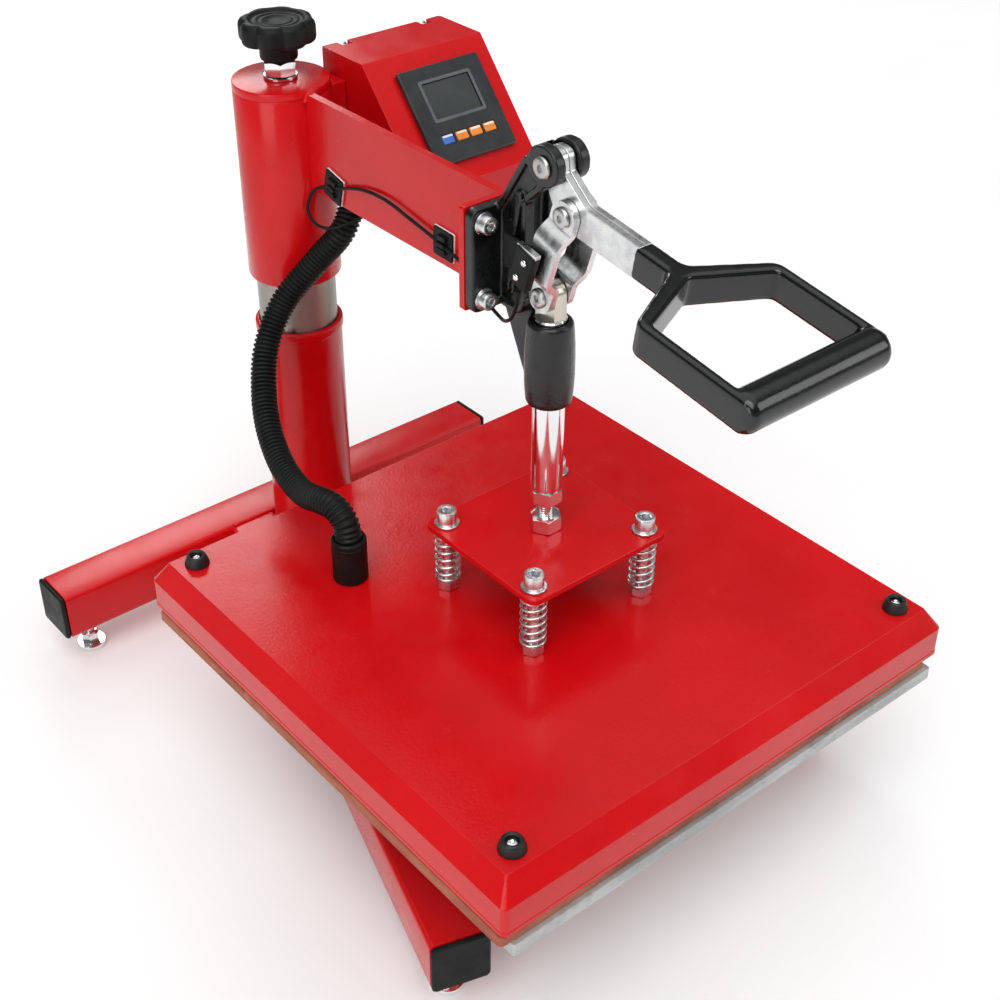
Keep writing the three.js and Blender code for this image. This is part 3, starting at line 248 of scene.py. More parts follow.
def cast_black():
    look = Look("black painted casting", (0.003, 0.003, 0.003), 0.3, Coat_Weight=0.1)
    look.colour(look.noise(50), (0.0015, 0.002, 0.002), (0.004, 0.005, 0.005))
    look.gloss(look.noise(70), 0.22, 0.42)
    look.bump(look.noise(330, 3), 0.0005, 0.5)
    return look.bump(look.noise(60, 2), 0.0008, 0.3).material


def dipped_black():
    look = Look("dipped vinyl", (0.003, 0.004, 0.004), 0.14, Coat_Weight=0.2, Coat_Roughness=0.06)
    look.colour(look.noise(25), (0.0015, 0.0025, 0.002), (0.004, 0.005, 0.005))
    look.gloss(look.noise(30), 0.1, 0.2)
    look.bump(look.noise(900, 2), 0.0001, 0.4)
    return look.bump(look.noise(45, 2), 0.0012, 0.25).material


def drawn_steel():
    look = Look("bare drawn tube", (0.33, 0.31, 0.28), 0.42, 0.95)
    look.colour(look.noise(22, stretch=(1, 1, 0.15)), (0.25, 0.23, 0.20), (0.42, 0.40, 0.36))
    look.stain(look.noise(75), (0.13, 0.11, 0.09), 0.6, 0.72)
    look.gloss(look.noise(60, stretch=(1, 1, 0.1)), 0.32, 0.55)
    return look.bump(look.noise(300, stretch=(1, 1, 0.04)), 0.0002, 0.4).material


def bright_zinc():
    look = Look("bright zinc", (0.72, 0.73, 0.74), 0.28, 1.0)
    look.colour(look.noise(90), (0.62, 0.63, 0.65), (0.80, 0.81, 0.80))
    look.gloss(look.noise(200, stretch=(1, 1, 0.3)), 0.2, 0.38)
    return look.bump(look.noise(700, stretch=(1, 0.15, 1)), 0.0001, 0.35).material


def polished(name, first, last, rough):
    look = Look(name, first, rough, 1.0)
    look.colour(look.noise(35, stretch=(1, 1, 0.3)), first, last)
    look.gloss(look.noise(110), rough * 0.7, rough * 1.5)
    return look.bump(look.noise(500, stretch=(1, 1, 0.05)), 0.00005, 0.3).material


def machined_aluminium():
    look = Look("machined aluminium", (0.5, 0.51, 0.51), 0.5, 0.35)
    look.colour(look.noise(14, stretch=(1, 1, 6)), (0.34, 0.35, 0.35), (0.50, 0.51, 0.51))
    look.stain(look.noise(60), (0.26, 0.27, 0.28), 0.55, 0.75)
    look.gloss(look.noise(160), 0.32, 0.55)
    return look.bump(look.noise(420, stretch=(1, 1, 4)), 0.0004, 0.5).material


def silicone():
    look = Look("silicone sponge", (0.34, 0.085, 0.04), 0.65, Subsurface_Weight=0.04)
    look.colour(look.noise(28, stretch=(1, 1, 4)), (0.26, 0.055, 0.026), (0.40, 0.12, 0.06))
    look.stain(look.noise(55), (0.48, 0.21, 0.12), 0.6, 0.8)
    look.gloss(look.noise(80), 0.55, 0.8)
    return look.bump(look.noise(900, 3), 0.0003, 0.6).material


def fibre_board():
    look = Look("insulation board", (0.72, 0.68, 0.58), 0.95)
    look.colour(look.noise(120, stretch=(1, 1, 8)), (0.60, 0.56, 0.46), (0.80, 0.76, 0.68))
    return look.bump(look.noise(600, 4, stretch=(1, 1, 6)), 0.0008, 0.7).material


def moulded(name, first, last, rough):
    look = Look(name, first, rough)
    look.colour(look.noise(70), first, last)
    look.gloss(look.noise(120), rough * 0.85, rough * 1.2)
    return look.bump(look.noise(2200, 2), 0.0001, 0.5).material


def display_window():
    look = Look("display window", (0.05, 0.06, 0.06), 0.12, Coat_Weight=0.6, Coat_Roughness=0.05)
    look.colour(look.noise(18), (0.022, 0.027, 0.029), (0.045, 0.052, 0.052))
    look.gloss(look.noise(50), 0.1, 0.2)
    return look.bump(look.noise(20), 0.0004, 0.1).material


RED = powder_coat()
BLACK = moulded_black()
CASTING = cast_black()
DIP = dipped_black()
STEEL = drawn_steel()
ZINC = bright_zinc()
CHROME = polished("chrome", (0.80, 0.81, 0.82), (0.90, 0.90, 0.91), 0.09)
NICKEL = polished("nickel", (0.52, 0.48, 0.40), (0.66, 0.62, 0.54), 0.22)
PIN_STEEL = polished("pin steel", (0.46, 0.46, 0.45), (0.58, 0.58, 0.57), 0.3)
ALUMINIUM = machined_aluminium()
SILICONE = silicone()
BOARD = fibre_board()
BEZEL = moulded("bezel plastic", (0.012, 0.014, 0.015), (0.022, 0.025, 0.027), 0.42)
PANEL = moulded("panel film", (0.050, 0.060, 0.068), (0.068, 0.080, 0.090), 0.35)
FRAME = moulded("window surround", (0.085, 0.10, 0.11), (0.11, 0.125, 0.135), 0.3)
WINDOW = display_window()
BLUE = moulded("blue key", (0.035, 0.12, 0.50), (0.05, 0.17, 0.60), 0.35)
ORANGE = moulded("orange key", (0.75, 0.21, 0.02), (0.85, 0.30, 0.04), 0.35)
# A cream strip along the upper edge of each key: a painted highlight where light catches the edge.
KEY_EDGE_HIGHLIGHT = moulded("painted key edge highlight", (0.75, 0.70, 0.60), (0.86, 0.82, 0.74), 0.4)
RUBBER = moulded("bumper rubber", (0.003, 0.003, 0.003), (0.007, 0.007, 0.007), 0.5)
FOAM = moulded("foam tape", (0.72, 0.72, 0.70), (0.84, 0.84, 0.82), 0.8)

# ---------------------------------------------------------------- shapes
# A shape is a pair: its vertices in millimetres, and its faces.


def arc(cx, cy, radius, start, stop, steps=12):
    """Points on an arc, in degrees, both ends included."""
    angles = [math.radians(start + (stop - start) * i / steps) for i in range(steps + 1)]
    return [(cx + radius * math.cos(a), cy + radius * math.sin(a)) for a in angles]


def rounded_rect(width, height, radius, steps=8):
    x, y = width / 2 - radius, height / 2 - radius
    corners = [(x, y, 0), (-x, y, 90), (-x, -y, 180), (x, -y, 270)]
    return [p for cx, cy, a in corners for p in arc(cx, cy, radius, a, a + 90, steps)]


def stadium(a, b, radius, steps=20):
    """The outline of a bar with round ends at a and b."""
    heading = math.degrees(math.atan2(b[1] - a[1], b[0] - a[0]))
    far = arc(*b, radius, heading - 90, heading + 90, steps)
    return far + arc(*a, radius, heading + 90, heading + 270, steps)


def filleted(points, steps=6):
    """A polygon from (x, y, corner radius), with its corners rounded."""
    outline = []
    count = len(points)
    for i, (x, y, radius) in enumerate(points):
        corner = Vector((x, y))
        before = Vector(points[i - 1][:2]) - corner
        after = Vector(points[(i + 1) % count][:2]) - corner
        if radius <= 0:
            outline.append((x, y))
            continue
        half = before.angle(after) / 2
        reach = min(radius / math.tan(half), before.length * 0.49, after.length * 0.49)
        start = corner + before.normalized() * reach
        stop = corner + after.normalized() * reach
        for k in range(steps + 1):
            t = k / steps
            point = start * (1 - t) ** 2 + corner * 2 * t * (1 - t) + stop * t**2
            outline.append(tuple(point))
    return outline


def skinned(outlines, closed=False):
    """Faces between outlines of equal count. closed joins the last one to the first, for a
    hollow body, and otherwise both ends get a lid."""
    count, sides = len(outlines), len(outlines[0])
    faces = []
    for k in range(count if closed else count - 1):
        here, there = k * sides, ((k + 1) % count) * sides
        for i in range(sides):
            j = (i + 1) % sides
            faces.append((here + i, here + j, there + j, there + i))
    if not closed:
        faces.append(tuple(reversed(range(sides))))
        faces.append(tuple((count - 1) * sides + i for i in range(sides)))
    return [v for outline in outlines for v in outline], faces


def prism(outline, low, high):
    return skinned([[(x, y, z) for x, y in outline] for z in (low, high)])


def turned(rings, sides=96, closed=False):
    """Rings of (radius, height) about Z. Either may be a function of the angle."""
    angles = [2 * math.pi * i / sides for i in range(sides)]
    outlines = []
    for radius, height in rings:
        outline = []
        for a in angles:
            r = radius(a) if callable(radius) else radius
            z = height(a) if callable(height) else height
            outline.append((r * math.cos(a), r * math.sin(a), z))
        outlines.append(outline)
    return skinned(outlines, closed)


def tube(path, radius, sides=24):
    """A round tube along points. radius may be a function of the distance along it."""
    points = [Vector(p) for p in path]
    angles = [2 * math.pi * k / sides for k in range(sides)]
    outlines = []
    normal = None
    along = 0.0
    for i, point in enumerate(points):
        ahead = points[min(i + 1, len(points) - 1)]
        behind = points[max(i - 1, 0)]
        tangent = (ahead - behind).normalized()
        if normal is None:
            normal = tangent.orthogonal().normalized()
        normal = (normal - tangent * normal.dot(tangent)).normalized()
        side = tangent.cross(normal)
        if i:
            along += (point - points[i - 1]).length
        r = radius(along) if callable(radius) else radius
        outlines.append([
            tuple(point + normal * (r * math.cos(a)) + side * (r * math.sin(a))) for a in angles
        ])
    return skinned(outlines)


def hexagon(across_flats):
    """The radius of a hexagon as a function of the angle."""
    sixth = math.pi / 3

    def radius(angle):
        return across_flats / 2 / math.cos(angle % sixth - sixth / 2)

    return radius


def nut(across_flats, low, high, bore=0.0):
    """A hexagon nut with the usual 30 degree chamfers."""
    corner = hexagon(across_flats)
    edge = across_flats * 0.48

    def drop(angle):
        return (corner(angle) - edge) * 0.55

    rings = [
        (edge, low),
        (corner, lambda a: low + drop(a)),
        (corner, lambda a: high - drop(a)),
        (edge, high),
    ]
    if bore:
        return turned([*rings, (bore, high), (bore, low)], closed=True)
    return turned(rings)


def thread(radius, low, high, pitch=1.5):
    """Close ridges that read as a screw thread."""
    root = radius - pitch * 0.45
    rings = [(root, low)]
    for i in range(int((high - low) / pitch)):
        start = low + i * pitch
        rings += [(root, start + pitch * 0.1), (radius, start + pitch * 0.45),
                  (radius, start + pitch * 0.6), (root, start + pitch * 0.95)]
    return turned([*rings, (root, high)], 48)


def cap_head(radius, height, key, rim=0.8):
    """A socket head on z = 0, open at the top with a hexagonal recess."""
    recess = hexagon(key)
    return turned([
        (radius - 0.3, 0), (radius, 0.3), (radius, height - rim), (radius - rim * 0.35, height - rim * 0.3),
        (radius - rim, height), (key * 0.66, height), (recess, height - 0.5), (recess, height * 0.45),
        (key * 0.2, height * 0.35),
    ], 60)


def button_head(radius, height, key):
    """A domed head on z = 0 with a hexagonal recess."""
    recess = hexagon(key)
    return turned([
        (radius - 0.4, 0), (radius, 0.4), (radius, height * 0.4), (radius * 0.93, height * 0.7),
        (radius * 0.8, height * 0.92), (key * 0.68, height), (recess, height - 0.3), (recess, height * 0.3),
        (key * 0.2, height * 0.2),
    ], 60)


def moved(shape, matrix):
    verts, faces = shape
    return [tuple(matrix @ Vector(v)) for v in verts], faces


def joined(*shapes):
    verts, faces = [], []
    for more, sides in shapes:
        start = len(verts)
        verts += more
        faces += [tuple(start + i for i in face) for face in sides]
    return verts, faces


# A side outline in (y, z) given thickness along x, and a front elevation given depth towards -y.
SIDE = Matrix(((0, 0, 1, 0), (1, 0, 0, 0), (0, 1, 0, 0), (0, 0, 0, 1)))
FRONT = Matrix(((1, 0, 0, 0), (0, 0, -1, 0), (0, 1, 0, 0), (0, 0, 0, 1)))
MIRROR = Matrix.Diagonal((-1, 1, 1, 1))


def side_prism(outline, low, high):
    return moved(prism(outline, low, high), SIDE)


MERGE_DISTANCE = 1e-6
FLAT_ANGLE = 0.6
BEVEL_SEGMENTS = 3
BEVEL_ANGLE = 32
RELAX_FACTOR = 0.5


def smooth(mesh, degrees):
    mesh.polygons.foreach_set("use_smooth", [True] * len(mesh.polygons))
    mesh.set_sharp_from_angle(angle=math.radians(degrees))


def tidy_mesh(mesh, dissolve=False):
    work = bmesh.new()
    work.from_mesh(mesh)
    bmesh.ops.remove_doubles(work, verts=work.verts, dist=MERGE_DISTANCE)
    if dissolve:
        limit = math.radians(FLAT_ANGLE)
        bmesh.ops.dissolve_limit(work, angle_limit=limit, verts=work.verts, edges=work.edges)
    bmesh.ops.recalc_face_normals(work, faces=work.faces)
    work.to_mesh(mesh)
    work.free()


def add_bevel(obj, width):
    modifier = obj.modifiers.new("soft edges", "BEVEL")
    modifier.width = width * MM
    modifier.segments = BEVEL_SEGMENTS
    modifier.limit_method = "ANGLE"
    modifier.angle_limit = math.radians(BEVEL_ANGLE)
    modifier.harden_normals = True


def finished(obj, material, body, bevel, replaces):
    obj.data.materials.clear()
    obj.data.materials.append(material)
    bpy.context.scene.collection.objects.link(obj)
    if bevel:
        add_bevel(obj, bevel)
    if body:
        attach(obj, body)
    if replaces:
        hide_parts(*replaces)
    return obj


def piece(name, shape, material, body, where=None, bevel=0.0, replaces=(), degrees=35):
    """A new piece from a shape, placed by a matrix in millimetres about the head."""
    verts, faces = shape
    matrix = TO_FRAME @ where if where else TO_FRAME
    mesh = bpy.data.meshes.new(name)
    mesh.from_pydata([matrix @ Vector(v) for v in verts], [], faces)
    tidy_mesh(mesh)
    smooth(mesh, degrees)
    obj = bpy.data.objects.new(name, mesh)
    return finished(obj, material, body, bevel, replaces)


def refined(node, shape, material, body, where=None, bevel=0.0, degrees=35):
    """A piece that takes the place of one CAD node."""
    return piece("fine_" + node, shape, material, body, where, bevel, (node,), degrees)


def softened(node, material, bevel, degrees=35):
    """The CAD solid itself, with rounded edges and a finish."""
    source = frame["nodes"][node]
    mesh = source.data.copy()
    tidy_mesh(mesh, dissolve=True)
    smooth(mesh, degrees)
    obj = bpy.data.objects.new("fine_" + node, mesh)
    return finished(obj, material, source["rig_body"], bevel, (node,))


def melted(obj, voxel, rounds):
    """Runs overlapping parts of one piece into each other, as a casting or a dipped skin does."""
    remesh = obj.modifiers.new("one skin", "REMESH")
    remesh.mode = "VOXEL"
    remesh.voxel_size = voxel * MM
    remesh.use_smooth_shade = True
    relax = obj.modifiers.new("relaxed", "SMOOTH")
    relax.factor = RELAX_FACTOR
    relax.iterations = rounds


def smooth_path(points, spacing):
    """A centripetal Catmull-Rom curve through points, at an even spacing, and its length."""
    steps = 24
    nodes = [Vector(p) for p in points]
    nodes = [nodes[0] * 2 - nodes[1], *nodes, nodes[-1] * 2 - nodes[-2]]
    fine = []
    for a, b, c, d in zip(nodes, nodes[1:], nodes[2:], nodes[3:]):
        t0 = 0.0
        t1 = t0 + (b - a).length ** 0.5
        t2 = t1 + (c - b).length ** 0.5
        t3 = t2 + (d - c).length ** 0.5
        for i in range(steps):
            t = t1 + (t2 - t1) * i / steps
            ab = a * ((t1 - t) / (t1 - t0)) + b * ((t - t0) / (t1 - t0))
            bc = b * ((t2 - t) / (t2 - t1)) + c * ((t - t1) / (t2 - t1))
            cd = c * ((t3 - t) / (t3 - t2)) + d * ((t - t2) / (t3 - t2))
            abc = ab * ((t2 - t) / (t2 - t0)) + bc * ((t - t0) / (t2 - t0))
            bcd = bc * ((t3 - t) / (t3 - t1)) + cd * ((t - t1) / (t3 - t1))
            fine.append(abc * ((t2 - t) / (t2 - t1)) + bcd * ((t - t1) / (t2 - t1)))
    fine.append(nodes[-2])
    lengths = [0.0]
    for a, b in zip(fine, fine[1:]):
        lengths.append(lengths[-1] + (b - a).length)
    count = max(2, round(lengths[-1] / spacing))
    even = []
    k = 0
    for i in range(count + 1):
        target = lengths[-1] * i / count
        while k < len(lengths) - 2 and lengths[k + 1] < target:
            k += 1
        t = (target - lengths[k]) / (lengths[k + 1] - lengths[k])
        even.append(fine[k].lerp(fine[k + 1], t))
    return even, lengths[-1]


SIDES = (("left", -1), ("right", 1))

# ---------------------------------------------------------------- cords

CONDUIT_RADIUS = 9.6
CONDUIT_PITCH = 3.3
CONDUIT_GROOVE = 1.5
CONDUIT_ROUTE = [
    (39, 232, 392), (33, 232, 391.9), (18, 228, 385), (3, 225, 363), (-12, 238, 339),
    (-37, 250, 307), (-56, 246, 280), (-69, 233, 258), (-82, 210, 239), (-92, 177, 224),
    (-96.5, 144, 221), (-97, 122, 227), (-96, 106, 229), (-95.6, 95.5, 223), (-95.6, 92, 213),
    (-95.6, 92, 202), (-95.6, 92, 191.7),
]
LEAD_RADIUS = 1.2
LEAD_ROUTE = [
    (39, 212, 392), (24, 212, 380), (6, 212, 375), (-8, 220, 370), (-11, 238, 367.5),
    (-10, 249, 374), (-7, 247, 387), (-6, 234, 396), (-6, 214, 402), (-6, 185, 411),
    (-6, 158, 413), (-6, 130, 409), (-6, 106, 405), (-6, 92, 402), (-6, 76, 398),
    (-6.5, 62, 390), (-8, 48, 382.5), (-12, 32, 381), (-17, 20, 384), (-21, 9, 392),
    (-23, 2, 404), (-23, 0, 414.5),
]


def make_conduit():
    """Corrugated hose that bends between the arm and the head."""
    path, length = smooth_path(CONDUIT_ROUTE, CONDUIT_PITCH / 6)

    def ridge(along):
        wave = 0.5 + 0.5 * math.cos(2 * math.pi * along / CONDUIT_PITCH)
        return CONDUIT_RADIUS - CONDUIT_GROOVE + CONDUIT_GROOVE * min(1, wave * 1.5)

    shape = tube(path, ridge, 32)
    hose = piece("corrugated_conduit", shape, BLACK, None, replaces=("conduit",), degrees=60)
    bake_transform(hose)


def make_lead():
    path, length = smooth_path(LEAD_ROUTE, 1.5)
    shape = tube(path, LEAD_RADIUS, 12)
    lead = piece("thin_switch_lead", shape, BLACK, "arm", replaces=("switch_lead",), degrees=60)


make_conduit()
make_lead()

# ---------------------------------------------------------------- base

TUBE = 40
LEG_SPLAY = 17.2
LEG_END = (180, -134)
FOOT_INSET = 23
CROSSBAR_HALF = 212.5
CROSSBAR_Y = 346.5
TUBE_BOTTOM = 30
COLUMN_WELD = 33.5


def make_tubes():
    for node in ("crossbar", "leg_left", "leg_right", "platen_support"):
        softened(node, RED, 0.5)
    for side, _ in SIDES:
        softened(f"leg_cap_{side}", BLACK, 0.6)
        softened(f"crossbar_cap_{side}", BLACK, 0.6)


def weld_bead(name, path, body, radius=2.2):
    """A bead of overlapping ripples under the paint."""
    fine, _ = smooth_path(path, 0.7)

    def ripple(along):
        return radius * (0.86 + 0.14 * abs(math.cos(along * 1.1)))

    piece(name, tube(fine, ripple, 14), RED, body, degrees=70)


def make_welds():
    """Beads where the legs and the column meet the crossbar, and along the arm."""
    front = CROSSBAR_Y - TUBE / 2
    height = TUBE_BOTTOM + TUBE
    for side, sign in SIDES:
        root = [(sign * x, front, height) for x in (17, 30, 43, 56.5)]
        weld_bead(f"leg_weld_{side}", root, "base")
    turns = [math.radians(a) for a in range(0, 361, 15)]
    ring = [
        (COLUMN_WELD * math.sin(a), COLUMN_Y + COLUMN_WELD * math.cos(a), height + 1) for a in turns
    ]
    weld_bead("column_weld", ring, "base", 2.4)
    blob = [(-3.4, COLUMN_Y - 35.2, 452), (-1.5, COLUMN_Y - 35.6, 457), (2.5, COLUMN_Y - 35.6, 457.6)]
    weld_bead("sleeve_weld", blob, "arm")
    for side, sign in SIDES:
        seam = [(sign * 3.2, 44.9, z) for z in (390, 410, 432, 456)]
        weld_bead(f"flange_weld_{side}", seam, "arm", 1.3)


def make_foot(name, x, y):
    disc = turned([(9, 0), (11.4, 0.5), (11.8, 1.6), (11.8, 3.4), (11.2, 4.6), (6.4, 4.7)])
    body = joined(disc, nut(13, 4.6, 13.6), thread(4, 13.4, 33, 1.25), nut(13, 23.5, 29.7))
    refined(name, body, CHROME, "base", shift(x, y, 0))


def make_feet():
    splay = math.radians(LEG_SPLAY)
    for side, sign in SIDES:
        x = sign * (LEG_END[0] - FOOT_INSET * math.sin(splay))
        make_foot(f"front_foot_{side}", x, LEG_END[1] + FOOT_INSET * math.cos(splay))
        make_foot(f"rear_foot_{side}", sign * (CROSSBAR_HALF - FOOT_INSET), CROSSBAR_Y)


LOWER_RADIUS = 32.6
INNER_RADIUS = 29.8
SLEEVE_RADIUS = 35
SLEEVE_BORE = 30.2
INNER_BORE = 26
SCREW_HOLE = 8.4


def make_column():
    axis = shift(0, COLUMN_Y, 0)
    low, high = bottom("lower_column"), top("lower_column")
    lower = turned([
        (LOWER_RADIUS, low), (LOWER_RADIUS, high - 9.5), (LOWER_RADIUS + 0.5, high - 8.2),
        (LOWER_RADIUS + 1.2, high - 6.8), (LOWER_RADIUS + 1.2, high - 2.4), (LOWER_RADIUS + 0.9, high - 1),
        (LOWER_RADIUS, high - 0.2), (INNER_RADIUS + 1.4, high), (INNER_RADIUS + 0.5, high - 0.8),
        (INNER_RADIUS + 0.4, low + 8), (INNER_RADIUS * 0.2, low + 8),
    ], 128)
    refined("lower_column", lower, RED, "base", axis)
    low, high = bottom("inner_column"), top("inner_column")
    inner = turned([
        (INNER_RADIUS - 0.6, low), (INNER_RADIUS, low + 0.6), (INNER_RADIUS, high - 1),
        (INNER_RADIUS - 1, high), (SCREW_HOLE, high), (SCREW_HOLE, high - 14), (INNER_BORE, high - 14),
        (INNER_BORE, low),
    ], 128, closed=True)
    refined("inner_column", inner, STEEL, "base", axis)
    low, high = bottom("sleeve"), top("sleeve")
    sleeve = turned([
        (SLEEVE_RADIUS - 1.1, low), (SLEEVE_RADIUS - 0.3, low + 0.3), (SLEEVE_RADIUS, low + 1.1),
        (SLEEVE_RADIUS, high - 6.4), (SLEEVE_RADIUS - 0.25, high - 6), (SLEEVE_RADIUS, high - 5.6),
        (SLEEVE_RADIUS, high - 1), (SLEEVE_RADIUS - 0.4, high - 0.25), (SLEEVE_RADIUS - 1.2, high),
        (SCREW_HOLE, high), (SCREW_HOLE, high - 6), (SLEEVE_BORE, high - 6), (SLEEVE_BORE, low),
    ], 128, closed=True)
    refined("sleeve", sleeve, RED, "arm", axis)


def make_platen():
    softened("lower_platen", ALUMINIUM, 0.6)
    softened("silicone_mat", SILICONE, 1.6)


# ---------------------------------------------------------------- knob

KNOB_LOBES = 8
KNOB_RADIUS = 27.4
SCREW_RADIUS = 8
WASHER_RADIUS = 12.2


def lobed(scale):
    """The knob's outline: broad lobes with narrow hollows."""

    def radius(angle):
        swell = (0.5 + 0.5 * math.cos(KNOB_LOBES * angle)) ** 0.45
        return KNOB_RADIUS * scale * (0.895 + 0.105 * swell)

    return radius


def make_knob():
    low = bottom("pressure_knob")
    knob = turned([
        (9, low), (11.6, low), (13, low + 0.8), (13.5, low + 2.2), (13.5, low + 11), (14.2, low + 12.2),
        (lobed(0.84), low + 12.6), (lobed(0.93), low + 13.2), (lobed(0.98), low + 14.6),
        (lobed(1), low + 16.6), (lobed(1), low + 24), (lobed(0.985), low + 26),
        (lobed(0.94), low + 27.8), (lobed(0.87), low + 28.8),
        (21.5, low + 29.1), (20, low + 28.9), (19, low + 28.2), (18.2, low + 27.4), (15.6, low + 27.2),
        (15, low + 27.7), (14.2, low + 27.7), (13.6, low + 27.1), (11, low + 27), (10.4, low + 27.5),
        (9.8, low + 27.5), (9.2, low + 27), (2, low + 26.9),
    ], 192)
    axis = shift(0, COLUMN_Y, 0)
    piece("fine_knob", knob, BLACK, "knob", axis, replaces=("pressure_knob",), degrees=50)
    seat = top("thrust_washer")
    start = bottom("adjusting_screw")
    screw = joined(nut(21.6, seat + 0.3, low - 0.3), thread(SCREW_RADIUS, start, low - 1, 2))
    refined("adjusting_screw", screw, CHROME, "knob", axis)
    base = bottom("thrust_washer")
    washer = turned([
        (SCREW_RADIUS + 0.3, base), (WASHER_RADIUS - 0.4, base), (WASHER_RADIUS, base + 0.5),
        (WASHER_RADIUS, seat - 0.5), (WASHER_RADIUS - 0.5, seat), (SCREW_RADIUS + 0.3, seat),
    ], closed=True)
    refined("thrust_washer", washer, CHROME, "carriage", axis)


# ---------------------------------------------------------------- arm

FLANGE_FACE = 31.7
FLANGE_THICK = 7.5
FLANGE_MIDDLE = 423
BOLT_X = 24.5
BOLT_HEIGHTS = (397.5, 448.5)
HANDLE_PIVOT = (-8.5, 494.5)
KNEE_PIVOT = (-23, 467.5)
PLUNGER_PIVOT = (PLUNGER_Y, 407.5)
BARREL_TOP = 389.5
EAR_INNER = 5.6
EAR_OUTER = 13
RIM_RADIUS = 1.6
PIN_HEAD = 2.7


def make_arm():
    softened("arm_plate", RED, 0.5)
    softened("box_strap", RED, 0.5)


def make_bracket():
    """The toggle casting: flange, ribbed cheeks, ears, gusset and plunger guide."""
    flange = moved(prism(rounded_rect(66, 69, 5), 0, FLANGE_THICK), FRONT)
    flange = moved(flange, shift(0, FLANGE_FACE + FLANGE_THICK, FLANGE_MIDDLE))
    ear_y, ear_z = HANDLE_PIVOT
    cheek = filleted([
        (FLANGE_FACE + 2, 393, 1), (FLANGE_FACE + 2, 453, 4), (ear_y + 12, ear_z + 6, 5),
        (ear_y, ear_z - 11, 4), (8.5, 468, 6), (8.5, 400, 6), (12.5, 392, 2),
    ])
    rib = stadium((24, 404), (13, 470), 2.4)
    eye = stadium(HANDLE_PIVOT, (ear_y + 2, ear_z), 12.4, 28)
    shapes = [flange]
    for _, sign in SIDES:
        low, high = sorted((sign * (EAR_INNER + 0.1), sign * EAR_OUTER))
        shallow = sorted((sign * (EAR_INNER + 0.1), sign * (EAR_OUTER - 3)))
        shapes.append(side_prism(eye, low, high))
        shapes.append(side_prism(cheek, *shallow))
        shapes.append(side_prism(rib, low, high))
        shapes += [side_prism(strip, low, high) for strip in cheek_rim(cheek, 2 * RIM_RADIUS)]
    web = filleted([
        (FLANGE_FACE + 2, 393, 1), (FLANGE_FACE + 2, 452, 3), (14, 484, 6), (ear_y + 14, ear_z + 8, 2),
        (ear_y + 12.9, ear_z + 8, 0), (ear_y + 12.9, ear_z - 12, 1), (12, 470, 2), (14, 393, 2),
    ])
    shapes.append(side_prism(web, -EAR_INNER - 1, EAR_INNER + 1))
    gusset = filleted([
        (FLANGE_FACE + 6, 400, 2), (38, 390, 2), (13, 337, 2), (8, 337, 2), (8, 386, 2), (12, 400, 2),
    ])
    shapes.append(side_prism(gusset, -4.4, 4.4))
    low, high = bottom("toggle_bracket"), BARREL_TOP
    barrel = turned([
        (11.2, low), (13, low), (14.4, low + 0.8), (15.2, low + 3), (15.9, low + 12), (16.2, low + 22),
        (16.2, low + 32), (15.9, low + 42), (15.3, low + 51), (14.7, high - 2), (13.8, high - 0.6),
        (12.8, high), (11.2, high),
    ], closed=True)
    shapes.append(moved(barrel, shift(0, PLUNGER_Y, 0)))
    bracket = refined("toggle_bracket", joined(*shapes), CASTING, "arm")
    melted(bracket, 0.75, 5)


def cheek_rim(outline, width):
    """Short bars round the edge of an outline, that stand proud as its rim."""
    strips = []
    for a, b in zip(outline, outline[1:] + outline[:1]):
        if math.dist(a, b) > 4:
            strips.append(stadium(a, b, width * 0.62, 6))
    return strips


def make_bolts():
    facing_front = spin(90, "X")
    for side, sign in SIDES:
        for level, height in zip(("low", "high"), BOLT_HEIGHTS):
            where = shift(sign * BOLT_X, FLANGE_FACE - 0.2, height) @ facing_front
            head = moved(cap_head(5.8, 6, 5), shift(0, 0, 1.2))
            washer = turned([(4.2, 0), (7, 0), (7.2, 0.3), (7.2, 1), (6.9, 1.3), (4.2, 1.3)], closed=True)
            piece(f"flange_bolt_{level}_{side}", joined(head, washer), ZINC, "arm", where)


def make_pin(node, pivot, face, radius, body):
    """A pivot pin along X with a domed socket head on either side."""
    head = moved(button_head(radius, PIN_HEAD, radius * 0.62), shift(0, 0, face))
    shank = turned([(radius * 0.55, -face - 0.2), (radius * 0.55, face + 0.2)], 48)
    both = joined(head, moved(head, spin(180, "X")), shank)
    refined(node, both, PIN_STEEL, body, shift(0, *pivot) @ spin(90, "Y"))


def make_pins():
    make_pin("handle_pivot_pin", HANDLE_PIVOT, EAR_OUTER + 0.3, 7, "arm")
    make_pin("knee_pin", KNEE_PIVOT, 10.3, 6.6, "links")


def make_microswitch():
    plate_x = -(EAR_OUTER + 5.6)
    place = shift(plate_x - 4.5, -1, 420) @ spin(18, "X")
    block = moved(prism(rounded_rect(6, 16, 0.8, 3), 0, 26), place)
    outline = filleted([(18, 424, 2), (18, 446, 2), (-8, 446, 2), (-2, 424, 2)])
    plate = side_prism(outline, plate_x - 1.6, plate_x)
    foot = filleted([(18, 428, 1), (18, 442, 1), (11, 442, 1), (11, 428, 1)])
    standoff = side_prism(foot, plate_x - 0.5, -EAR_OUTER)
    refined("microswitch", joined(block, plate, standoff), BLACK, "arm", bevel=0.5)
    for name, y, z in (("low", 1.5, 5.5), ("high", -1.5, 19)):
        where = place @ shift(-3, y, z) @ spin(-90, "Y")
        piece(f"switch_screw_{name}", button_head(2.3, 1.3, 1.8), CHROME, "arm", where)
    strip = filleted([(-8.5, 25.8, 0.4), (9, 25.8, 0.4), (9, 26.6, 0.4), (-8.5, 28.6, 0.4)])
    piece("switch_lever", side_prism(strip, -2, 2), ZINC, "arm", place, bevel=0.15)


MOUNT_TAPE = 0.9


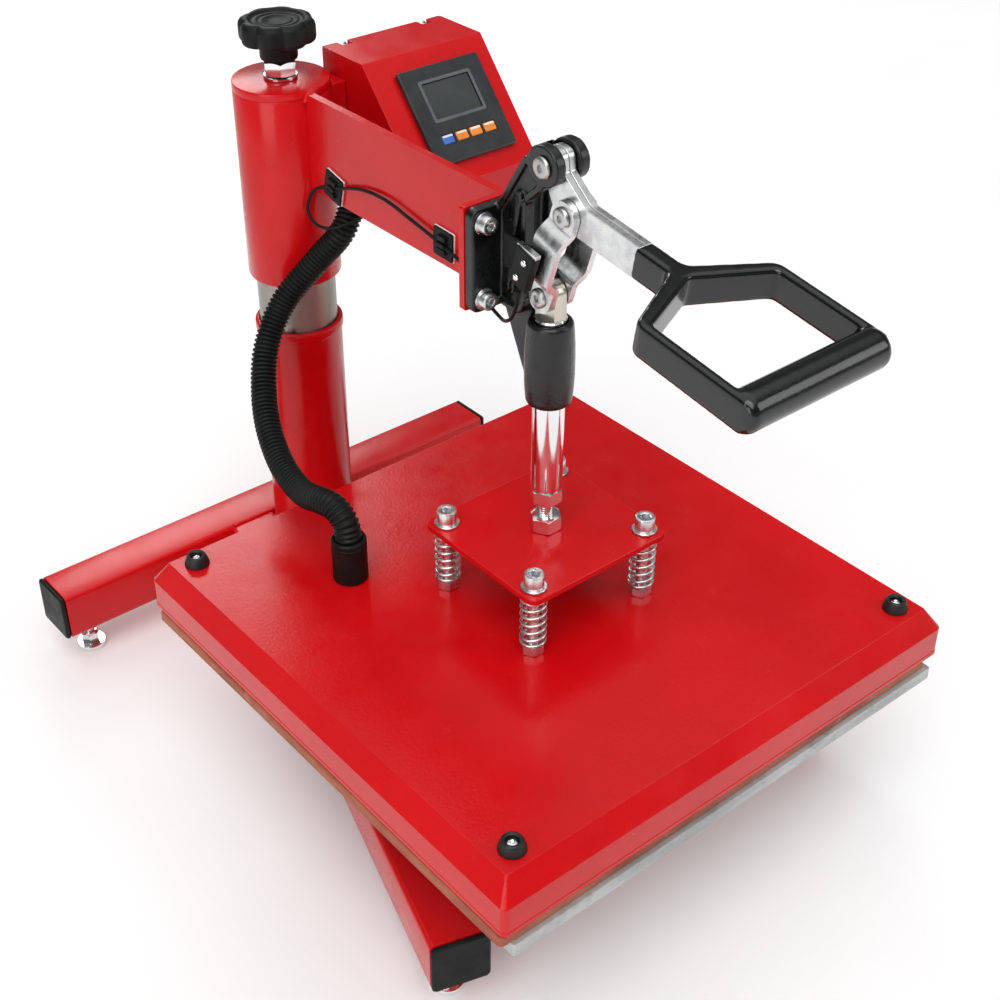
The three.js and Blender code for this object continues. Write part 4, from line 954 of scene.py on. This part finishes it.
def make_tie_mounts():
    """Adhesive cable mounts on the arm, with a tie holding the switch lead."""
    for name, y, z, turn in (("rear", 222, 399.5, 14), ("front", 97, 403.5, 2)):
        where = shift(-3.1, y, z) @ spin(turn, "X") @ spin(-90, "Y")
        tape = prism(rounded_rect(20.5, 20.5, 0.6, 3), 0, MOUNT_TAPE)
        piece(f"mount_tape_{name}", tape, FOAM, "arm", where, bevel=0.1)
        post = prism(rounded_rect(3.4, 9, 0.8, 3), 2.2, 4.6)
        posts = [moved(post, shift(sign * 4.6, 0, 0)) for _, sign in SIDES]
        base = joined(prism(rounded_rect(20, 20, 1.2, 4), MOUNT_TAPE, 2.4), *posts)
        piece(f"tie_mount_{name}", base, BLACK, "arm", where, bevel=0.3)
        turns = [math.radians(a) for a in range(0, 361, 20)]
        loop = [(0, 2.1 * math.cos(a), 2.9 + 1.9 * math.sin(a)) for a in turns]
        tie = moved(prism(stadium((0, -3.4), (0, 3.4), 1.4, 8), 0, 1.1), shift(0, 0, 4.3))
        piece(f"cable_tie_{name}", joined(tube(loop, 0.7, 10), tie), BLACK, "arm", where)


# ---------------------------------------------------------------- control box

BOX_MIDDLE = 96.5
SLOPE_FOOT = Vector((BOX_MIDDLE, 179, 395.5))
SLOPE_HEAD = Vector((BOX_MIDDLE, 245, 471))
PANEL_TILT = math.atan2(SLOPE_HEAD.z - SLOPE_FOOT.z, SLOPE_HEAD.y - SLOPE_FOOT.y)
PANEL_PLACE = shift(*(SLOPE_FOOT + SLOPE_HEAD) / 2) @ Matrix.Rotation(PANEL_TILT, 4, "X")
FILM_BOTTOM = 4.3
FILM_TOP = 4.55
WINDOW_Y = 10
KEY_ROW_Y = -19
KEY_SPACING = 12.6
NOTCH_X = 36
KEY_NAMES = ("set", "down", "up", "reset")


def key_x(index):
    return (index - (len(KEY_NAMES) - 1) / 2) * KEY_SPACING


def make_control_box():
    softened("control_box", RED, 0.9)
    softened("box_back_cover", RED, 0.4)
    softened("controller_bezel", BEZEL, 0.35)
    softened("power_inlet", BLACK, 0.4)
    softened("power_switch", BLACK, 0.6)
    film = rounded_rect(62, 62, 1.2, 4)
    window = rounded_rect(42, 27, 0.8, 4)
    openings = [[(x, y + WINDOW_Y) for x, y in window]]
    for i in range(len(KEY_NAMES)):
        openings.append([(x + key_x(i), y + KEY_ROW_Y) for x, y in rounded_rect(11.1, 7.6, 0.8, 4)])
    sheet = plate_with_openings(film, openings, FILM_BOTTOM, FILM_TOP)
    piece("panel_film", sheet, PANEL, "arm", PANEL_PLACE)
    inside = rounded_rect(42.2, 27.2, 0.8, 5)
    ring = plate_with_openings(rounded_rect(47, 32, 1.6, 5), [inside], 0, 0.9)
    where = PANEL_PLACE @ shift(0, WINDOW_Y, 4.5)
    piece("window_frame", ring, FRAME, "arm", where, bevel=0.25)
    softened("controller_screen", WINDOW, 0.15)
    make_notch_screws()


def make_notch_screws():
    """Screws that show in the two notches at the top of the box's open back."""
    centre = middle("control_box").x / MM
    for side, sign in SIDES:
        where = shift(centre + sign * NOTCH_X, 291, top("control_box") - 3) @ spin(90, "X")
        screw = joined(thread(1.8, 0, 6.5, 0.8), moved(button_head(3, 1.6, 1.8), shift(0, 0, -1.4)))
        piece(f"notch_screw_{side}", screw, ZINC, "arm", where)


def plate_with_openings(outline, openings, low, high):
    """A flat plate with holes, triangulated face by face."""
    work = bmesh.new()
    loops = []
    for points in (outline, *openings):
        verts = [work.verts.new((x, y, low)) for x, y in points]
        loops += [work.edges.new((a, b)) for a, b in zip(verts, verts[1:] + verts[:1])]
    bmesh.ops.triangle_fill(work, edges=loops, use_beauty=True)
    made = bmesh.ops.extrude_face_region(work, geom=work.faces[:])
    rising = [v for v in made["geom"] if isinstance(v, bmesh.types.BMVert)]
    bmesh.ops.translate(work, verts=rising, vec=(0, 0, high - low))
    work.verts.index_update()
    verts = [tuple(v.co) for v in work.verts]
    faces = [tuple(v.index for v in face.verts) for face in work.faces]
    work.free()
    return verts, faces


def make_keys():
    for i, name in enumerate(KEY_NAMES):
        finish = BLUE if i == 0 else ORANGE
        cap = key_cap(10.3, 6.8, 1.0, [(0, 2.9), (0, 4.9), (0.35, 5.4), (0.9, 5.6)])
        where = PANEL_PLACE @ shift(key_x(i), KEY_ROW_Y, 0)
        body = f"key_{name}"
        refined(f"button_{name}", cap, finish, body, where)
        # The thin cream strip along the key's upper edge is a painted highlight laid on the key.
        edge = prism(rounded_rect(8.6, 1.5, 0.5, 4), 5.55, 5.75)
        piece(f"button_highlight_{name}", moved(edge, shift(0, 2.1, 0)), KEY_EDGE_HIGHLIGHT, body, where, bevel=0.06)


def key_cap(width, depth, corner, rings):
    """A rounded rectangle lofted through (inset, height) rings."""
    outlines = []
    for inset, z in rings:
        radius = max(corner - inset * 0.4, 0.2)
        outline = rounded_rect(width - 2 * inset, depth - 2 * inset, radius)
        outlines.append([(x, y, z) for x, y in outline])
    return skinned(outlines)


# ---------------------------------------------------------------- handle and links

LEVER_TILT = math.radians(8.5)
LEVER_HEADING = (-math.cos(LEVER_TILT), -math.sin(LEVER_TILT))
LEVER_LENGTH = 58
LEVER_BAR = 21
GRIP_REACH = 127
FORK_HALF = 55.5
FORK_BAR = 7
FORK_NECK = 6.4
FORK_HEIGHT = 21


def along_lever(distance, above=0.0):
    y, z = KNEE_PIVOT
    dy, dz = LEVER_HEADING
    return (y + dy * distance + dz * above, z + dz * distance - dy * above)


def make_lever():
    half = LEVER_BAR / 2
    eye_y, eye_z = HANDLE_PIVOT
    knee_y, knee_z = KNEE_PIVOT
    outline = filleted([
        (*along_lever(LEVER_LENGTH, half), 0), (*along_lever(12, half), 10), (eye_y - 9, eye_z - 3, 3),
        (eye_y - 7.5, eye_z + 9, 8), (eye_y + 7, eye_z + 10.5, 9), (eye_y + 11.6, eye_z - 3, 6),
        (knee_y + 13, knee_z - 2, 6), (knee_y + 5, knee_z - 11.5, 7),
        (*along_lever(6, -half), 6), (*along_lever(LEVER_LENGTH, -half), 0),
    ], 8)
    for side, sign in SIDES:
        low, high = sorted((sign * 0.15, sign * 4.95))
        refined(f"lever_plate_{side}", side_prism(outline, low, high), ZINC, "handle", bevel=0.45)


def make_handle():
    """A flat-bar fork and grip in one dipped skin."""
    inside = FORK_HALF - FORK_BAR
    tip = GRIP_REACH + 4
    right = [
        (FORK_NECK, 0, 0), (FORK_NECK, 25, 9), (FORK_HALF, 50, 10), (FORK_HALF, tip, 0),
        (inside, tip, 0), (inside, 56.5, 5), (0, 35, 6),
    ]
    left = [(-x, y, r) for x, y, r in reversed(right[:-1])]
    plan = [(x, -y) for x, y in filleted(right + left, 8)]
    body = rounded_plate(plan, FORK_HEIGHT, 2.2)
    bar = moved(turned([
        (6, -FORK_HALF), (9.4, -FORK_HALF + 0.9), (11.2, -FORK_HALF + 2.6), (12, -FORK_HALF + 5),
        (12, FORK_HALF - 5), (11.2, FORK_HALF - 2.6), (9.4, FORK_HALF - 0.9), (6, FORK_HALF),
    ], 64), shift(0, -GRIP_REACH, 0) @ spin(90, "Y"))
    neck = moved(prism(rounded_rect(13, 20.5, 2.5), -2, 24), spin(90, "X"))
    start = along_lever(LEVER_LENGTH + 0.3)
    where = shift(0, *start) @ Matrix.Rotation(LEVER_TILT, 4, "X")
    handle = refined("d_handle", joined(body, bar, neck), DIP, "handle", where)
    melted(handle, 0.9, 9)


def rounded_plate(outline, height, edge):
    """A plate with rounded rims, standing equally above and below z = 0."""
    half = height / 2
    area = sum(a[0] * b[1] - b[0] * a[1] for a, b in zip(outline, outline[1:] + outline[:1]))
    if area < 0:
        outline = outline[::-1]
    rings = [(edge, -half), (edge * 0.3, -half + edge * 0.3), (0, -half + edge),
             (0, half - edge), (edge * 0.3, half - edge * 0.3), (edge, half)]
    count = len(outline)
    outlines = []
    for inset, z in rings:
        ring = []
        for i, (x, y) in enumerate(outline):
            ahead = Vector(outline[(i + 1) % count]) - Vector(outline[i - 1])
            normal = Vector((ahead.y, -ahead.x)).normalized()
            ring.append((x - normal.x * inset, y - normal.y * inset, z))
        outlines.append(ring)
    return skinned(outlines)


LINK_LENGTH = math.dist(KNEE_PIVOT, PLUNGER_PIVOT)
LINK_HALF_WIDTH = 10
LINK_THICK = 4.7
LINK_BOW = 8.2
LINK_INSIDE = 5.3


def bow(s):
    """How far a link stands out at a distance s below the knee pivot."""

    def rise(start, stop):
        t = min(1, max(0, (s - start) / (stop - start)))
        return t * t * (3 - 2 * t)

    return LINK_BOW * (rise(7.5, 18) - rise(LINK_LENGTH - 20, LINK_LENGTH - 11))


def link_shape():
    """A round-ended strap, bowed outwards between its eyes, hanging from z = 0."""
    steps = 96
    start, stop = -LINK_HALF_WIDTH, LINK_LENGTH + LINK_HALF_WIDTH
    verts, faces = [], []
    for i in range(steps + 1):
        t = i / steps
        s = start + (stop - start) * (0.5 - 0.5 * math.cos(math.pi * t))
        reach = min(s - start, stop - s, LINK_HALF_WIDTH)
        width = math.sqrt(max(LINK_HALF_WIDTH**2 - (LINK_HALF_WIDTH - reach) ** 2, 0.04))
        slope = (bow(s + 0.05) - bow(s - 0.05)) / 0.1
        tilt = 1 / math.hypot(1, slope)
        across = (LINK_THICK * tilt, LINK_THICK * slope * tilt)
        for face in (0, 1):
            x = LINK_INSIDE + bow(s) + face * across[0]
            z = -s + face * across[1]
            verts += [(x, -width, z), (x, width, z)]
    for i in range(steps):
        a, b = 4 * i, 4 * (i + 1)
        faces += [
            (a, a + 1, b + 1, b), (a + 2, b + 2, b + 3, a + 3),
            (a, b, b + 2, a + 2), (a + 1, a + 3, b + 3, b + 1),
        ]
    faces += [(0, 2, 3, 1), (4 * steps, 4 * steps + 1, 4 * steps + 3, 4 * steps + 2)]
    return verts, faces


def make_links():
    lean = math.atan2(PLUNGER_PIVOT[0] - KNEE_PIVOT[0], KNEE_PIVOT[1] - PLUNGER_PIVOT[1])
    where = shift(0, *KNEE_PIVOT) @ Matrix.Rotation(lean, 4, "X")
    for side, sign in SIDES:
        shape = link_shape() if sign > 0 else moved(link_shape(), MIRROR)
        refined(f"link_{side}", shape, ZINC, "links", where, bevel=0.5, degrees=28)
    for side, sign in SIDES:
        head = moved(button_head(6.4, PIN_HEAD, 4), shift(0, 0, 10.1))
        outward = shift(0, *PLUNGER_PIVOT) @ spin(sign * 90, "Y")
        piece(f"plunger_pin_head_{side}", head, PIN_STEEL, "links", outward)


# ---------------------------------------------------------------- plunger, springs and guides


TONGUE_DROP = 16
ROD_RADIUS = 10.5
STUD_RADIUS = 6
STUD_NUT = 19


def make_plunger():
    axis = shift(0, PLUNGER_Y, 0)
    low = bottom("plunger_rod")
    shoulder = PLUNGER_PIVOT[1] - TONGUE_DROP
    rod = turned([
        (6.2, low), (9.6, low), (ROD_RADIUS, low + 1), (ROD_RADIUS, shoulder - 6),
        (ROD_RADIUS - 0.3, shoulder - 5.6), (ROD_RADIUS - 0.3, shoulder - 4.8),
        (ROD_RADIUS, shoulder - 4.4), (ROD_RADIUS, shoulder - 0.8), (9.8, shoulder), (4, shoulder),
    ])
    tongue = side_prism(stadium(PLUNGER_PIVOT, (PLUNGER_Y, shoulder - 2), 9.5), -4.9, 4.9)
    refined("plunger_rod", moved(rod, axis), CHROME, "plunger")
    piece("plunger_tongue", tongue, NICKEL, "plunger", bevel=0.8)
    plate_top = top("spring_plate")
    nuts = [(plate_top + 0.3, plate_top + 11.1), (low - 10.3, low - 0.3), (plate_top - 10.8, plate_top - 4.8)]
    stud = joined(
        thread(STUD_RADIUS, plate_top - 12.4, low + 12, 1.75),
        *[nut(STUD_NUT, start, stop, STUD_RADIUS - 0.6) for start, stop in nuts],
    )
    refined("plunger_stud", stud, CHROME, "plunger", axis)


def make_spring_plate():
    low, high = bottom("spring_plate"), top("spring_plate")
    plate = prism(rounded_rect(120, 114, 7), low, high)
    refined("spring_plate", plate, RED, "plunger", shift(0, PLUNGER_Y, 0), bevel=0.6)


SPRING_MEAN = 8
SPRING_WIRE = 1.12
SPRING_TURNS = 7.5


def spring_shape(low, high):
    """A compression spring with closed end turns."""
    start, stop = low + SPRING_WIRE, high - SPRING_WIRE
    closed = 2.1 * SPRING_WIRE
    steps = int(SPRING_TURNS * 28)
    path = []
    for i in range(steps + 1):
        turn = SPRING_TURNS * i / steps
        if turn < 1:
            height = start + closed * turn
        elif turn > SPRING_TURNS - 1:
            height = stop - closed * (SPRING_TURNS - turn)
        else:
            height = start + closed + (stop - start - 2 * closed) * (turn - 1) / (SPRING_TURNS - 2)
        angle = 2 * math.pi * turn
        path.append((SPRING_MEAN * math.cos(angle), SPRING_MEAN * math.sin(angle), height))
    return tube(path, SPRING_WIRE, 12)


def make_guides():
    plate_top = top("spring_plate")
    for corner in ("rear_left", "front_left", "front_right", "rear_right"):
        screw_node, spring_node = f"guide_screw_{corner}", f"spring_{corner}"
        where = under(screw_node)
        low = bottom(screw_node)
        head = moved(cap_head(6.8, 9.6, 6), shift(0, 0, plate_top + 1.9))
        washer = turned([
            (4.2, plate_top + 0.3), (8.4, plate_top + 0.3), (8.6, plate_top + 0.6),
            (8.6, plate_top + 1.6), (8.3, plate_top + 1.9), (4.2, plate_top + 1.9),
        ], closed=True)
        shank = turned([(4, low + 3), (4, plate_top + 2)], 48)
        base = joined(nut(13.5, low, low + 6.6), thread(4, low + 6.4, low + 13, 1.25))
        refined(screw_node, joined(head, washer, shank, base), ZINC, "head", where)
        start, stop = bottom(spring_node), top(spring_node)
        spring = refined(spring_node, spring_shape(start, stop), ZINC, "plunger", where, degrees=70)
        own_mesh(spring)


# ---------------------------------------------------------------- head

HEAD_SIZE = 393
HEAD_BEVEL = 15
HEAD_INSET = 10
HEAD_LIP = 0.8
BUMPER_INSET = 171


def lofted(rings):
    """A solid through square rings of (width, corner radius, height)."""
    return skinned([[(x, y, z) for x, y in rounded_rect(width, width, corner)] for width, corner, z in rings])


def make_head():
    low, high = bottom("head_cover"), top("head_cover")
    cover = lofted([
        (HEAD_SIZE + HEAD_LIP, 5.4, low), (HEAD_SIZE + HEAD_LIP, 5.4, low + 3), (HEAD_SIZE, 5, low + 3.6),
        (HEAD_SIZE, 5, high - HEAD_BEVEL), (HEAD_SIZE - 2 * HEAD_INSET, 1.5, high),
    ])
    refined("head_cover", cover, RED, "head", bevel=1.3, degrees=30)
    softened("heating_plate", ALUMINIUM, 0.5)
    softened("insulation_board", BOARD, 0.8)
    make_bumpers(high)
    make_fitting()


def make_bumpers(height):
    cone = turned([
        (8.2, 0), (8.8, 0.5), (8.6, 1.8), (7, 6.8), (6.5, 7.6), (5.8, 8), (4.8, 7.9), (4.2, 7.4),
        (4.2, 4), (1, 4),
    ], 64)
    screw = moved(button_head(3.9, 1.8, 2.4), shift(0, 0, 4.1))
    for end, across in (("front", -1), ("rear", 1)):
        for side, sign in SIDES:
            where = shift(sign * BUMPER_INSET, across * (BUMPER_INSET + 2), height)
            piece(f"bumper_{end}_{side}", cone, RUBBER, "head", where)
            piece(f"bumper_screw_{end}_{side}", screw, CHROME, "head", where)


def make_fitting():
    low, high = bottom("conduit_fitting"), top("conduit_fitting")
    socket = turned([
        (11.6, low), (12.4, low + 0.8), (12.4, high - 5), (12.1, high - 4.6), (12.1, high - 3.9),
        (12.4, high - 3.5), (12.4, high - 1.2), (11.4, high), (10.2, high), (9.95, high - 1),
        (9.95, low + 12), (2, low + 12),
    ], 72)
    refined("conduit_fitting", socket, BLACK, "head", under("conduit_fitting"))


# ---------------------------------------------------------------- studio


# Metres from here on: floor, key light and lamps.
FLOOR_REACH = 6.0
KEY_ENERGY = 1.5
KEY_ANGLE = 50
KEY_TURN = (24, -26, 0)
LAMPS = (
    ("left_box", (-2.0, -0.6, 0.9), (0, 0, 0.3), 1.2, 10),
    ("right_box", (1.5, -1.7, 1.3), (0, 0, 0.3), 1.0, 8),
    ("back_box", (0.9, 2.2, 1.6), (0, 0, 0.2), 0.8, 10),
)
SKY_STOPS = ((0, 0.3), (0.3, 0.1), (0.62, 0.14), (0.82, 1))
SKY_STRENGTH = 1.1


def make_floor():
    mesh = bpy.data.meshes.new("floor")
    corners = [(x * FLOOR_REACH, y * FLOOR_REACH, 0) for x, y in ((-1, -1), (1, -1), (1, 1), (-1, 1))]
    mesh.from_pydata(corners, [], [(0, 1, 2, 3)])
    look = Look("pale floor", (0.9, 0.9, 0.9), 0.7)
    look.colour(look.noise(2), (0.88, 0.88, 0.88), (0.92, 0.92, 0.92))
    mesh.materials.append(look.material)
    linked("floor", mesh)


def make_studio():
    make_floor()
    make_sky()
    bpy.context.scene.view_settings.view_transform = "Standard"
    sun = bpy.data.lights.new("key", "SUN")
    sun.energy = KEY_ENERGY
    sun.angle = math.radians(KEY_ANGLE)
    linked("key", sun).rotation_euler = [math.radians(a) for a in KEY_TURN]
    for lamp in LAMPS:
        make_lamp(*lamp)


def make_sky():
    """A white ceiling over dim walls, so that gloss reads as gloss."""
    world = bpy.data.worlds.new("studio")
    world.use_nodes = True
    nodes, links = world.node_tree.nodes, world.node_tree.links
    heading = nodes.new("ShaderNodeTexCoord").outputs["Generated"]
    split = nodes.new("ShaderNodeSeparateXYZ")
    ramp = nodes.new("ShaderNodeValToRGB")
    for _ in SKY_STOPS[2:]:
        ramp.color_ramp.elements.new(0.5)
    for element, (place, level) in zip(ramp.color_ramp.elements, SKY_STOPS):
        element.position = place
        element.color = (level, level, level, 1)
    backdrop = nodes["Background"]
    backdrop.inputs["Strength"].default_value = SKY_STRENGTH
    links.new(heading, split.inputs["Vector"])
    links.new(split.outputs["Z"], ramp.inputs["Fac"])
    links.new(ramp.outputs["Color"], backdrop.inputs["Color"])
    bpy.context.scene.world = world


def make_lamp(name, place, target, size, power):
    data = bpy.data.lights.new(name, "AREA")
    data.size = size
    data.energy = power
    lamp = linked(name, data)
    lamp.location = place
    lamp.rotation_euler = (Vector(target) - Vector(place)).to_track_quat("-Z", "Y").to_euler()


# ---------------------------------------------------------------- assembly

make_tubes()
make_welds()
make_feet()
make_column()
make_platen()
make_knob()
make_arm()
make_bracket()
make_bolts()
make_pins()
make_microswitch()
make_tie_mounts()
make_control_box()
make_keys()
make_lever()
make_handle()
make_links()
make_plunger()
make_spring_plate()
make_guides()
make_head()
make_studio()

bpy.context.view_layer.update()
